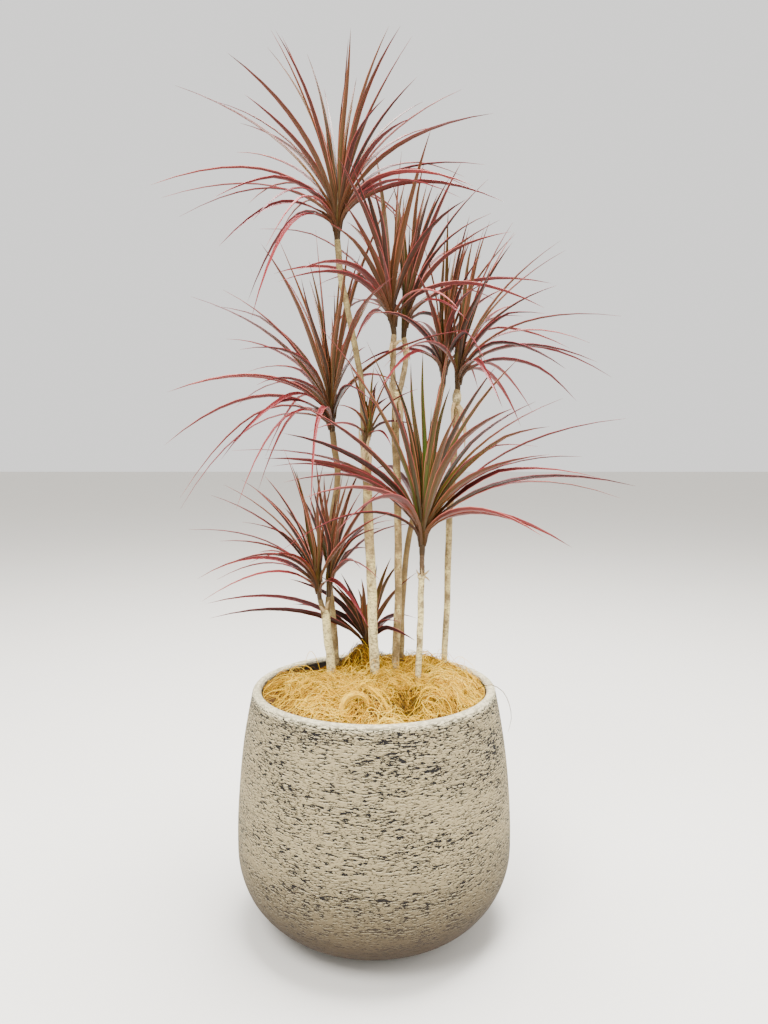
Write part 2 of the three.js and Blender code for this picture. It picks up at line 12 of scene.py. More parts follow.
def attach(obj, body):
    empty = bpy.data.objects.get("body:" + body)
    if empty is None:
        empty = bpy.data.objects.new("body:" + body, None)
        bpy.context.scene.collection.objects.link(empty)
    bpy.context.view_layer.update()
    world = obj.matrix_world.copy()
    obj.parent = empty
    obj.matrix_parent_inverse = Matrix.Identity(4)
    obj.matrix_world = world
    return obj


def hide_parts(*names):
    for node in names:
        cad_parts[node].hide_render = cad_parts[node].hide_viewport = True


bl_info = {
    "name": "Potted Dracaena",
    "version": (1, 0, 0),
    "blender": (4, 5, 0),
    "location": "3D View > Sidebar > Dracaena",
    "description": "Makes the looks of a potted dracaena around its packed solids",
    "category": "Object",
}

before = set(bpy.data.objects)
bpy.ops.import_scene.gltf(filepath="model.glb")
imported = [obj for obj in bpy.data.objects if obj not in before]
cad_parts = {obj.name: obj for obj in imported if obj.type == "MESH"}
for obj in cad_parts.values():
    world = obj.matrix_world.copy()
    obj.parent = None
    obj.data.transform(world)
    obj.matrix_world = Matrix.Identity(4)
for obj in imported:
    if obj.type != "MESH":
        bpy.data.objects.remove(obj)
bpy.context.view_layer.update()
MM = 0.001


def tone(code):
    """A linear colour from a hex colour as it is seen."""
    parts = [((code >> shift) & 255) / 255 for shift in (16, 8, 0)]
    return tuple(p / 12.92 if p <= 0.04045 else ((p + 0.055) / 1.055) ** 2.4 for p in parts)


# ---------------------------------------------------------------- the plant's own sizes, in mm

GAP = 0.3  # clearance kept between neighbouring solids
FOOT_RADIUS = 76
BELLY_RADIUS = 180
BELLY_HEIGHT = 104
WALL_START = 114  # height from which the wall narrows
RIM_RADIUS = 158
POT_HEIGHT = 312
WALL = 13
RIM_ROUND = 6  # height of the rim's round
FLOOR = 15
STRAIGHT_FROM = 128  # height from which the inner wall follows the outer one
SOIL_TOP = 283
COIR_EDGE = 304  # height of the mulch at the wall
COIR_CROWN = 18  # how much higher it is in its middle
COIR_RIPPLE = 2.2  # height of its ripples
CANE_FOOT = 205  # height of the canes' buried ends

# The mulch's clumps and hollows: x, y, rise and spread.
CLUMPS = [(-14, 50, 15, 25), (70, 34, 17, 26), (-75, -45, 7, 26), (-72, 98, -22, 40)]

# Every cane's stems: radius, and the points of its axis.
CANES = {
    "cane_a": [
        (6.1, [(2, 1, CANE_FOOT), (1, 0, 324), (-3, 0, 424), (-7, 0, 525), (-9, 0, 581),
               (-10, 0, 624)]),
        (3.9, [(-10, 1, 596), (-13, 3, 648), (-16, 4, 702), (-24, 5, 751), (-33, 5, 798),
               (-41, 5, 834), (-46, 5, 885)]),
    ],
    "cane_b": [
        (4.3, [(-50, 52, CANE_FOOT), (-53, 51, 330), (-58, 50, 400), (-61, 48, 440), (-58, 46, 520),
               (-51, 45, 568), (-49, 45, 595), (-53, 44, 620), (-56, 43, 645)]),
    ],
    "cane_c": [
        (5.2, [(27, 27, CANE_FOOT), (28, 25, 326), (32, 25, 419), (32, 25, 473), (31, 25, 553),
               (28, 25, 650), (29, 26, 695)]),
        (3.7, [(28, 26, 680), (24, 24, 716), (25, 22, 745), (26, 22, 770)]),
        (3.6, [(30, 27, 680), (38, 34, 716), (42, 40, 742), (39, 43, 768)]),
    ],
    "cane_d": [
        (4.1, [(34, 58, CANE_FOOT), (37, 56, 357), (40, 56, 435), (46, 57, 492), (62, 64, 564),
               (80, 70, 647), (90, 72, 696), (94, 72, 710)]),
    ],
    "cane_e": [
        (4.1, [(55, -17, CANE_FOOT), (57, -18, 325), (60, -18, 400), (61, -19, 462)]),
        (3.2, [(61, -19, 440), (61.5, -19.5, 466), (61.5, -20, 489)]),
    ],
    "cane_f": [
        (5.6, [(-55, 12, CANE_FOOT), (-57, 11, 326), (-61, 10, 368), (-65, 9, 412)]),
        (3.5, [(-65.5, 9, 398), (-68, 7, 412), (-71.5, 5, 426)]),
        (3.7, [(-64, 9, 398), (-61.5, 9.5, 412), (-60, 10, 428)]),
    ],
    "cane_g": [
        (4.4, [(93, 48, CANE_FOOT), (96, 46, 334), (99, 45, 415), (101, 45, 520), (105, 45, 570),
               (108, 45, 632), (110, 45, 690), (111, 45, 700)]),
    ],
    "cane_h": [(3.8, [(-9, 58, CANE_FOOT), (-10, 54, 305), (-10, 52, 340)])],
}

# The leaf heads, as in the solids: the crown's foot, height, lean and radius, the leaves' reach
# and width, how many are filled in, and tips beside and above the foot as the front shows them.
# Green is how green a head's heart is, and twist how far its blades turn to the front.
HEADS = [
    dict(name="head_1", base=(-46, 5, 885), height=62, lean=(2, 0), radius=5.4, reach=245,
         width=7.2, fill=21, seed=11, green=0.35,
         tips=[(-80, 250), (-85, 230), (-105, 200), (-115, 175), (-35, 160), (15, 240), (65, 255),
               (60, 170), (155, 180), (100, 195), (125, 135), (185, 90), (160, 75), (210, 45),
               (170, 60), (155, 50), (105, -5), (-200, 185), (-120, 140), (-235, 65), (-220, 50),
               (-155, 50), (-125, 105), (-150, -10), (-115, -80), (-110, -100), (-75, 0),
               (-90, -10)]),
    dict(name="head_2", base=(-56, 43, 645), height=62, lean=(-2, 0), radius=5.6, reach=250,
         width=7.4, fill=21, seed=22, green=0.3,
         tips=[(-20, 260), (-40, 200), (-70, 210), (-185, 175), (-140, 120), (-220, 50),
               (-225, -20), (-100, 60), (-130, 30), (-205, -105), (-205, -90), (-150, -40),
               (-100, -80), (-130, -105), (-90, -35), (-30, -130), (0, 150), (90, 325),
               (45, 110)]),
    dict(name="head_3a", base=(26, 22, 770), height=56, lean=(-7, -2), radius=5.0, reach=235,
         width=8.4, fill=16, seed=33, green=0.1,
         tips=[(-60, 225), (-50, 220), (-25, 230), (-30, 190), (-50, 185), (-65, 165), (-155, 75),
               (-150, 65), (-60, -40), (-85, 140), (-100, 60), (-20, 110)]),
    dict(name="head_3b", base=(39, 43, 768), height=58, lean=(4, 1), radius=4.9, reach=225,
         width=8.0, fill=17, seed=44, green=0.55,
         tips=[(0, 180), (25, 180), (45, 185), (60, 205), (125, 150), (140, 135), (125, 45),
               (85, 20), (70, -30)]),
    dict(name="head_4a", base=(94, 72, 710), height=56, lean=(0, 1), radius=4.9, reach=215,
         width=7.2, fill=17, seed=55, green=0.3,
         tips=[(5, 235), (40, 200), (5, 155), (50, 170), (-125, 15), (-40, 150), (-70, 90),
               (-90, -15), (-30, 190)]),
    dict(name="head_4b", base=(111, 45, 700), height=60, lean=(1, -1), radius=5.2, reach=215,
         width=7.6, fill=14, seed=66, green=0.35,
         tips=[(70, 215), (70, 190), (140, 180), (130, 135), (85, 95), (215, 95), (175, 60),
               (185, 35), (205, 15), (145, 25), (100, -30), (60, -25), (85, -50), (20, 200)]),
    dict(name="head_5", base=(61.5, -20, 489), height=66, lean=(1, -1), radius=5.2, reach=260,
         width=9.6, fill=20, seed=77, green=1.0,
         tips=[(-130, 285), (-70, 265), (-15, 240), (0, 255), (35, 210), (45, 180), (120, 245),
               (175, 195), (160, 160), (255, 170), (145, 135), (160, 125), (225, 95), (270, 85),
               (250, 70), (155, 20), (-240, 130), (-200, 120), (-190, 110), (-175, 90),
               (-160, 130), (-150, 70)]),
    dict(name="head_6a", base=(-71.5, 5, 426), height=44, lean=(-3, -2), radius=4.4, reach=190,
         width=6.8, fill=11, seed=88, green=0.35,
         tips=[(-45, 195), (-70, 160), (-100, 155), (-85, 145), (-140, 135), (-100, 100),
               (-170, 90), (-130, 75), (-80, 60), (-120, 45), (-160, 25), (-155, -5)]),
    dict(name="head_6b", base=(-60, 10, 428), height=46, lean=(3, 1), radius=4.5, reach=185,
         width=6.8, fill=13, seed=99, green=0.35,
         tips=[(-25, 135), (-5, 160), (10, 135), (25, 125), (65, 105), (70, 90), (85, 100),
               (45, 140), (60, 60)]),
    dict(name="head_7", base=(-10, 52, 340), height=34, lean=(1, 0), radius=4.5, reach=125,
         width=8.6, fill=4, seed=110, green=0.15, twist=0.8,
         tips=[(-45, 97), (-36, 111), (-13, 90), (-8, 104), (2, 72), (33, 133), (49, 131),
               (68, 112), (68, 48), (67, 16), (-222, 68), (-217, 48), (-102, 68),
               (-107, 103)]),
    dict(name="head_8", base=(-9, -5, 624), height=38, lean=(3, -6), radius=3.9, reach=95,
         width=5.6, fill=11, seed=121, green=0.7,
         tips=[(10, 75), (-15, 80)]),
]

# The rule of growth, as in the solids. Angles are in degrees, and heights on a crown and widths
# of a blade's root are shares.
MOST_PIECES = 5  # straight stretches of a hanging leaf in the solids
LEAST_PIECES = 3  # and of an upright one
RISE_PER_PIECE = 28  # rise that saves one stretch
KEEL = 1.5  # depth of a blade's fold
ROOT_WIDTH = 0.45  # a blade's width at its root, against its widest
ROOT_DEPTH = 2.2  # how far a root reaches into the crown
LOWEST_ROOT = 0.25  # where on the crown the oldest leaf stands
ROOT_SPAN = 0.5  # how much further up the youngest one does
CROWN_PROFILE = [(0.72, 0), (0.9, 0.25), (1.15, 0.6), (0.8, 0.85), (0, 1)]  # width, rise
WIDENING = 2.3  # how fast a blade widens from its root
TAPER = 2.2  # how late it narrows to its tip
CONTROL = 0.5  # share of the leaf's length where its arch turns over
STEEPEST = 85  # rise at which a leaf is youngest and its bend is least
AGE_SPAN = 110  # rise between the youngest leaf and the oldest
UPRIGHT = 88  # steepest start of a leaf
BEND_PER_DEGREE = 0.44  # bend for each degree of rise below the steepest
LEAST_BEND = 6
MOST_BEND = 66
GOLDEN_ANGLE = 137.5
SIDE_THINNING = 8  # angle by which filled-in leaves crowd towards front and back
FRONT = 270  # heading that points to the front
FRONT_OPEN = 26  # angle on both sides of it that filled-in leaves leave open
YOUNG_RISE = 84  # rise of the first filled-in leaf
OLD_RISE = -16  # and of the last
CLEARANCE = 1.3  # room between a leaf and all that it passes
ROOT_FREE = 1  # stretches at the root that may meet their own head's leaves and cane
OWN_RELIEF = 3  # how much closer leaves of one head may pass each other
COIR_CLEARANCE = 4  # room between a leaf and the mulch
STEM_ROOM = 1.5  # room round a cane or a crown
EYE = (13, -1030, 632)  # the viewpoint that the listed leaf tips are seen from, and the camera's


# ---------------------------------------------------------------- sizes and colours a user changes


class PotSettings(bpy.types.PropertyGroup):
    columns: bpy.props.IntProperty(
        name="Columns", description="Facets round the pot's wall", default=320, min=64, max=400)
    relief: bpy.props.FloatProperty(
        name="Relief", description="Depth of the wall's pits", default=0.00045, unit="LENGTH")
    cement: bpy.props.FloatVectorProperty(
        name="Cement", description="Colour of the bare cement", subtype="COLOR",
        default=tone(0x9A8B66))
    # Chips and highlight: the pale chips' own colour, also laid as painted highlight on the rim and
    # below each pit.
    chips_and_highlight: bpy.props.FloatVectorProperty(
        name="Chips and highlight", description="Colour of the pale chips and the rim", subtype="COLOR",
        default=tone(0xE8DCB4))
    # Pits: painted shade, the dark colour that stands for the shade inside the pits.
    pitted: bpy.props.FloatVectorProperty(
        name="Pits", description="Colour inside the pits", subtype="COLOR",
        default=tone(0x0C0703))


class MulchSettings(bpy.types.PropertyGroup):
    strands: bpy.props.IntProperty(
        name="Strands", description="Fibres in each of the mulch's layers", default=2600,
        min=100, max=4000)
    thickness: bpy.props.FloatProperty(
        name="Thickness", description="Thickness of a fibre", default=0.00054, unit="LENGTH")
    bright: bpy.props.FloatVectorProperty(
        name="Bright fibre", description="Colour of the sunlit fibre", subtype="COLOR",
        default=tone(0xFFC81C))
    # Deep fibre also colours the strands and bed that are darkened with painted shade.
    deep: bpy.props.FloatVectorProperty(
        name="Deep fibre", description="Colour of the fibre further in", subtype="COLOR",
        default=tone(0x8E5408))


class CaneSettings(bpy.types.PropertyGroup):
    scar_step: bpy.props.FloatProperty(
        name="Scar step", description="Distance between two leaf scars", default=0.0055,
        unit="LENGTH")
    scar_depth: bpy.props.FloatProperty(
        name="Scar depth", description="How far a leaf scar stands out", default=0.00011,
        unit="LENGTH")
    scar: bpy.props.FloatVectorProperty(
        name="Scar", description="Colour of the leaf scars", subtype="COLOR",
        default=tone(0x7A6446))


class LeafSettings(bpy.types.PropertyGroup):
    thickness: bpy.props.FloatProperty(
        name="Thickness", description="Thickness of a blade's root", default=0.00062,
        unit="LENGTH")
    maroon: bpy.props.FloatVectorProperty(
        name="Maroon", description="Colour of a grown blade", subtype="COLOR",
        default=tone(0x3E0C07))
    heart: bpy.props.FloatVectorProperty(
        name="Heart", description="Olive colour of a young blade", subtype="COLOR",
        default=tone(0x4A340A))
    edge: bpy.props.FloatVectorProperty(
        name="Edge", description="Colour along a blade's edges", subtype="COLOR",
        default=tone(0x8E2832))
    # The oldest blades' own rosy colour, made lighter as a painted highlight where the hanging
    # blades face the top light.
    aged_and_lit: bpy.props.FloatVectorProperty(
        name="Aged", description="Rosy colour of the oldest blades", subtype="COLOR",
        default=tone(0x883032))


class StageSettings(bpy.types.PropertyGroup):
    ground: bpy.props.FloatVectorProperty(
        name="Floor", description="Colour of the floor", subtype="COLOR", default=tone(0xDEDAD2))
    focal: bpy.props.FloatProperty(
        name="Focal length", description="Camera lens, in millimetres", default=28.125)
    key: bpy.props.FloatProperty(
        name="Key light", description="Power of the main lamp, in watts", default=115.0)


# ---------------------------------------------------------------- hands


def put_down():
    """Leaves edit mode, with nothing selected."""
    if bpy.context.object and bpy.context.object.mode != "OBJECT":
        bpy.ops.object.mode_set(mode="OBJECT")
    bpy.ops.object.select_all(action="DESELECT")


def pick(obj):
    """Makes one object the only selected one, and the active one."""
    put_down()
    obj.select_set(True)
    bpy.context.view_layer.objects.active = obj
    return obj


def new_piece(name):
    """Names the object that was just added."""
    obj = bpy.context.object
    obj.name = name
    obj.data.name = name
    return obj


def unit(vectors):
    """The same directions, each 1 long."""
    return vectors / (np.linalg.norm(vectors, axis=-1, keepdims=True) + 1e-12)


def apply_modifiers(obj):
    """Makes the modifiers part of the mesh."""
    pick(obj)
    for modifier in list(obj.modifiers):
        bpy.ops.object.modifier_apply(modifier=modifier.name)


def places_of(mesh):
    """The mesh's points, one row for each."""
    flat = np.empty(len(mesh.vertices) * 3)
    mesh.vertices.foreach_get("co", flat)
    return flat.reshape(-1, 3)


def put_places(mesh, places):
    """Moves the mesh's points to new places."""
    mesh.vertices.foreach_set("co", np.asarray(places, dtype=np.float32).ravel())
    mesh.update()


def put_values(mesh, **named):
    """Stores one number for each point, under each name."""
    for name, values in named.items():
        layer = mesh.attributes.new(name, "FLOAT", "POINT")
        layer.data.foreach_set("value", np.asarray(values, dtype=np.float32).ravel())


def put_colours(mesh, name, colours):
    """Stores one colour for each point."""
    layer = mesh.attributes.new(name, "FLOAT_COLOR", "POINT")
    full = np.ones((len(colours), 4), dtype=np.float32)
    full[:, :3] = colours
    layer.data.foreach_set("color", full.ravel())


def dress(obj, material, slot, *nodes):
    """Gives a finished piece its material and body, and hides the parts of the solids that it
    stands for; its slot is not used.
    """
    obj.data.materials.clear()
    obj.data.materials.append(material)
    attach(obj, "root")
    if nodes:
        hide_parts(*nodes)
    return obj


class Pattern:
    """A form that is modelled once: its points, faces and the place of each point on it."""

    def __init__(self, obj):
        mesh = obj.data
        self.points = places_of(mesh)
        self.starts = np.array([p.loop_start for p in mesh.polygons])
        self.corners = np.array([loop.vertex_index for loop in mesh.loops])
        bpy.data.objects.remove(obj)
        bpy.data.meshes.remove(mesh)

    def crease(self, mesh):
        """Makes the copies' edges sharp along their rib and rims, and smooth elsewhere."""
        ends = np.empty(len(mesh.edges) * 2, dtype=np.int32)
        mesh.edges.foreach_get("vertices", ends)
        x = self.points[ends.reshape(-1, 2) % len(self.points), 0]
        folded = (np.abs(x[:, 0] - x[:, 1]) < 0.1) & (np.abs(np.abs(x[:, 0]) - 0.5) > 0.4)
        mesh.edges.foreach_set("use_edge_sharp", folded)

    def laid(self, name, copies, across, along):
        """One mesh of many copies of the form, each with its own points."""
        count, size = copies.shape[:2]
        mesh = bpy.data.meshes.new(name)
        mesh.vertices.add(count * size)
        mesh.vertices.foreach_set("co", copies.astype(np.float32).ravel())
        mesh.loops.add(count * len(self.corners))
        shifts = np.arange(count)[:, None]
        corners = self.corners + shifts * size
        mesh.loops.foreach_set("vertex_index", corners.astype(np.int32).ravel())
        mesh.polygons.add(count * len(self.starts))
        starts = self.starts + shifts * len(self.corners)
        mesh.polygons.foreach_set("loop_start", starts.astype(np.int32).ravel())
        mesh.update(calc_edges=True)
        layer = mesh.uv_layers.new(name="UVMap")
        pairs = np.stack([across[self.corners], along[self.corners]], axis=1)
        layer.data.foreach_set("uv", np.tile(pairs, (count, 1)).astype(np.float32).ravel())
        mesh.polygons.foreach_set("use_smooth", np.ones(len(mesh.polygons), dtype=bool))
        obj = bpy.data.objects.new(name, mesh)
        bpy.context.scene.collection.objects.link(obj)
        return obj


# ---------------------------------------------------------------- finishes

SHADES = {
    name: tone(code)
    for name, code in {
        "cloudy cement": 0x83775A, "foot shade": 0x2C1C0A, "shaded pit near the foot": 0x1E1208,
        "inside shade and stain": 0x2E2820, "wet soil": 0x1C140D, "soil crumb": 0x4A3828,
        "felt": 0x2C1A08, "felt patch": 0x7A4E1E, "hollow shade": 0x1A120A,
        "shaded fibre": 0x241405, "sunlit fibre": 0xFFE468, "fibre streak": 0xFFC830,
        "fibre end": 0xFFD040, "cream bark": 0xFAE89C, "brown bark": 0x6C5834,
        "bark mottle": 0x624C2C, "bark ring": 0x584426, "bark speck": 0x4E3C22,
        "olive": 0x3E4410, "fresh green": 0x3C6A14, "vein": 0x160605, "red patch": 0x5A1614,
        "underside": 0x5E2C28, "deep shade": 0x140805, "salmon edge": 0xD47A6A,
        "ochre edge": 0xA0603A, "dry tip": 0x6A4A30, "leaf foot": 0x3A2810,
        "sheath": 0x9C7C4E, "sheath streak": 0xD6BC8C, "floor cloud": 0xD2CEC6,
    }.items()
}
# Three kinds of pit in the cement: how much flatter than long, scale, detail and roughness of
# its grain, and the levels between which the grain turns into a pit.
PIT_GRAINS = {
    "dash": (4.6, 120, 4.0, 0.66, (0.623, 0.628)),
    "thin dash": (5.5, 190, 3.0, 0.62, (0.660, 0.666)),
    "speck": (2.0, 300, 2.0, 0.6, (0.694, 0.702)),
}
# A pit's pale lower lip is a painted highlight where top light would catch it; it also stands for
# pale chips beside the pits.
LIP_HIGHLIGHT_DROP = 0.0014  # distance of a pit's pale lip below it
LIP_HIGHLIGHT_LEVELS = (0.622, 0.634)


class Finish:
    """A new material, with short ways to add and join its nodes."""

    def __init__(self, name):
        self.material = bpy.data.materials.new(name)
        self.material.use_nodes = True
        self.nodes = self.material.node_tree.nodes
        self.links = self.material.node_tree.links
        self.body = self.nodes["Principled BSDF"]

    def add(self, kind, inputs, **values):
        """Adds a node, sets its values and feeds its inputs."""
        node = self.nodes.new(kind)
        for name, value in values.items():
            setattr(node, name, value)
        for name, value in inputs.items():
            self.feed(node.inputs[name], value)
        return node

    def feed(self, socket, value):
        """Joins a socket to another, or sets it. A colour gets its alpha."""
        if isinstance(value, bpy.types.NodeSocket):
            self.links.new(value, socket)
        elif hasattr(value, "__len__") and len(value) == 3 and len(socket.default_value) == 4:
            socket.default_value = (*value, 1.0)
        else:
            socket.default_value = value

    def place(self, scale=(1, 1, 1), shift=(0, 0, 0)):
        """The point in the object's own frame, stretched and then moved."""
        source = self.add("ShaderNodeTexCoord", {}).outputs["Object"]
        inputs = {"Vector": source, "Scale": scale, "Location": shift}
        return self.add("ShaderNodeMapping", inputs).outputs["Vector"]

    def on_blade(self, scale=(1, 1, 1)):
        """The point's place across and along the piece, stretched."""
        source = self.add("ShaderNodeUVMap", {}, uv_map="UVMap").outputs["UV"]
        return self.add("ShaderNodeMapping", {"Vector": source, "Scale": scale}).outputs["Vector"]

    def stored(self, name, output="Fac"):
        """A value that is stored on the mesh."""
        return self.add("ShaderNodeAttribute", {}, attribute_name=name).outputs[output]

    def grain(self, place, scale, detail, roughness):
        """Cloudy noise around 0.5."""
        inputs = {"Vector": place, "Scale": scale, "Detail": detail, "Roughness": roughness}
        return self.add("ShaderNodeTexNoise", inputs).outputs["Fac"]

    def cells(self, place, scale):
        """Distance from the middles of scattered cells."""
        inputs = {"Vector": place, "Scale": scale}
        return self.add("ShaderNodeTexVoronoi", inputs).outputs["Distance"]

    def step(self, value, low, high, to_low=0.0, to_high=1.0):
        """Maps low..high onto to_low..to_high, smoothly and clamped."""
        inputs = {
            "Value": value, "From Min": low, "From Max": high, "To Min": to_low, "To Max": to_high}
        node = self.add("ShaderNodeMapRange", inputs, interpolation_type="SMOOTHSTEP")
        return node.outputs["Result"]

    def sum(self, operation, first, second=0.0):
        """Joins two values by a sum that is named as in the Math node."""
        node = self.add("ShaderNodeMath", {0: first, 1: second}, operation=operation)
        return node.outputs["Value"]

    def times(self, first, second):
        """One value times another."""
        return self.sum("MULTIPLY", first, second)

    def plus(self, first, second):
        """One value and another."""
        return self.sum("ADD", first, second)

    def blend(self, factor, first, second):
        """The first colour where the factor is 0, and the second where it is 1."""
        inputs = {"Factor": factor, 6: first, 7: second}
        return self.add("ShaderNodeMix", inputs, data_type="RGBA").outputs[2]

    def over(self, colour, value, low, high, most, shade):
        """Lays a shade over a colour as a value goes from low to high, and at most so far."""
        return self.blend(self.step(value, low, high, 0.0, most), colour, shade)

    def apart(self, vector):
        """The three parts of a place or a colour."""
        return self.add("ShaderNodeSeparateXYZ", {"Vector": vector}).outputs

    def raised(self, height, distance, strength=1.0):
        """The surface's direction with a fine relief pressed into it."""
        inputs = {"Strength": strength, "Distance": distance, "Height": height}
        return self.add("ShaderNodeBump", inputs).outputs["Normal"]

    def done(self, colour, roughness, normal=None, **constants):
        """Feeds the shader, and gives back the material."""
        self.feed(self.body.inputs["Base Color"], colour)
        self.feed(self.body.inputs["Roughness"], roughness)
        if normal is not None:
            self.feed(self.body.inputs["Normal"], normal)
        for name, value in constants.items():
            self.body.inputs[name.replace("_", " ")].default_value = value
        return self.material


def pit_grain(f, kind, crowd, above=0.0):
    """Grain of one kind of pit, stronger in a crowd, as it is here or a little above."""
    flatter, scale, detail, roughness, _ = PIT_GRAINS[kind]
    place = f.place((1, 1, flatter), (0, 0, above * flatter))
    return f.plus(f.grain(place, scale, detail, roughness), crowd)


def cement(settings):
    """Pitted cement: dark dashes of painted shade in loose bands, a pale lip below each and a pale
    rim as painted highlights, and painted shade at the foot.
    """
    f = Finish("Pitted Cement")
    height = f.apart(f.place())[2]
    crowd = f.times(f.grain(f.place((1, 1, 2.4)), 15, 2.0, 0.5), 0.13)
    crowd = f.plus(crowd, f.times(f.stored("pit"), 0.1))
    crowd = f.plus(crowd, f.step(height, 0.0, 0.13, -0.03, 0.0))
    crowd = f.plus(crowd, f.step(height, 0.285, 0.3, 0.0, 0.018))
    pits = 0.0
    for kind, (*_, levels) in PIT_GRAINS.items():
        pits = f.sum("MAXIMUM", f.step(pit_grain(f, kind, crowd), *levels), pits)
    # Painted highlight: a pale lip just below each dash, where light from above would catch its
    # lower edge.
    lit_lips = f.sum("SUBTRACT", f.step(pit_grain(f, "dash", crowd, LIP_HIGHLIGHT_DROP), *LIP_HIGHLIGHT_LEVELS), pits)
    lit_lips = f.times(f.sum("MAXIMUM", lit_lips, 0.0), f.step(height, 0.03, 0.14))
    chips = f.grain(f.place((1, 1, 1.6)), 420, 2.0, 0.6)
    colour = f.over(
        settings.cement, f.grain(f.place(), 9, 4.0, 0.6), 0.3, 0.7, 0.5, SHADES["cloudy cement"])
    colour = f.over(colour, chips, 0.58, 0.68, 0.08, settings.chips_and_highlight)
    # Painted shade: the wall darkens and browns towards the foot, standing for its shadow and a
    # painted reflection of a brown floor.
    colour = f.over(colour, height, 0.18, 0.035, 0.95, SHADES["foot shade"])
    # Painted highlight: a pale band round the rim, where the top light catches it.
    colour = f.over(colour, height, 0.302, 0.309, 0.8, settings.chips_and_highlight)
    colour = f.blend(f.times(lit_lips, 0.32), colour, settings.chips_and_highlight)
    # Painted shade: the pits are coloured dark for the shade inside them, and browner near the foot
    # with its painted shade and floor reflection.
    dark = f.over(settings.pitted, height, 0.16, 0.04, 1.0, SHADES["shaded pit near the foot"])
    fade = f.times(f.step(height, 0.0, 0.12, 0.6, 1.0), f.step(height, 0.3115, 0.306, 0.35, 1.0))
    colour = f.blend(f.times(pits, fade), colour, dark)
    # Painted shade with a dark stain on the pot's inside wall, below the rim.
    inside_shade_and_stain = f.times(f.stored("inside"), f.step(height, 0.311, 0.304))
    colour = f.blend(inside_shade_and_stain, colour, SHADES["inside shade and stain"])
    fine = f.grain(f.place(), 900, 2.0, 0.6)
    relief = f.plus(f.times(pits, -1.0), f.times(fine, 0.1))
    return f.done(colour, 0.93, f.raised(relief, 0.0005, 0.9))


def potting_soil():
    """Dark moist crumbs."""
    f = Finish("Potting Soil")
    crumbs = f.cells(f.place(), 220)
    colour = f.blend(crumbs, SHADES["wet soil"], SHADES["soil crumb"])
    return f.done(colour, 1.0, f.raised(crumbs, 0.002))


def coir_bed(settings):
    """The tangle under the loose fibres: felted and streaked, dark as painted shade beneath them,
    darker still in the hollows.
    """
    f = Finish("Felted Coconut Fibre")
    tangle = f.grain(f.place(), 260, 5.0, 0.7)
    patch = f.grain(f.place(), 30, 2.0, 0.5)
    # Painted shade: the felt is dark for the shade beneath the loose fibres.
    colour = f.over(SHADES["felt"], tangle, 0.4, 0.75, 1.0, settings.deep)
    colour = f.over(colour, patch, 0.45, 0.7, 0.5, SHADES["felt patch"])
    # Painted shade in the hollows and shaded spots.
    colour = f.blend(f.stored("gloom"), colour, SHADES["hollow shade"])
    return f.done(colour, 1.0, f.raised(tangle, 0.003))


def coir_fibre(settings):
    """Loose fibres, each with a tone from painted shade in the hollows and lower layers to a
    painted sunlit highlight.
    """
    f = Finish("Coconut Fibre")
    own = f.stored("tone")
    along = f.apart(f.on_blade())[1]
    streak = f.grain(f.on_blade((3, 14, 1)), 2.0, 2.0, 0.5)
    colour = f.over(SHADES["shaded fibre"], own, 0.0, 0.36, 1.0, settings.deep)
    colour = f.over(colour, own, 0.24, 0.74, 1.0, settings.bright)
    colour = f.over(colour, own, 0.75, 1.0, 0.6, SHADES["sunlit fibre"])
    colour = f.over(colour, streak, 0.4, 0.7, 0.25, SHADES["fibre streak"])
    colour = f.over(colour, along, 0.9, 1.0, 0.3, SHADES["fibre end"])
    return f.done(colour, 0.6, Specular_IOR_Level=0.15)


def bark(settings):
    """Dracaena bark: the stem's own colour, mottled, with faint broken rings where leaves stood."""
    f = Finish("Cane Bark")
    own = f.stored("bark", "Color")
    mottle = f.grain(f.place((1, 1, 1.5)), 300, 4.0, 0.65)
    rings = f.grain(f.place((0.3, 0.3, 1)), 520, 3.0, 0.6)
    patch = f.grain(f.place((1, 1, 0.7)), 80, 3.0, 0.6)
    dots = f.cells(f.place((1, 1, 1.4)), 420)
    ripe = f.step(f.apart(own)[0], 0.15, 0.42)
    cream = f.times(f.step(patch, 0.5, 0.64, 0.0, 0.6), ripe)
    colour = f.blend(cream, own, SHADES["cream bark"])
    colour = f.over(colour, patch, 0.49, 0.38, 0.72, SHADES["brown bark"])
    colour = f.over(colour, mottle, 0.52, 0.62, 0.68, SHADES["bark mottle"])
    colour = f.over(colour, rings, 0.56, 0.66, 0.5, SHADES["bark ring"])
    speck = f.times(f.step(dots, 0.2, 0.08, 0.0, 0.5), f.step(mottle, 0.42, 0.56))
    colour = f.blend(speck, colour, SHADES["bark speck"])
    broken = f.times(f.stored("scar"), f.step(mottle, 0.42, 0.62, 0.0, 0.5))
    colour = f.blend(broken, colour, settings.scar)
    relief = f.plus(mottle, f.times(rings, 0.7))
    return f.done(colour, 0.8, f.raised(relief, 0.0006, 0.8))


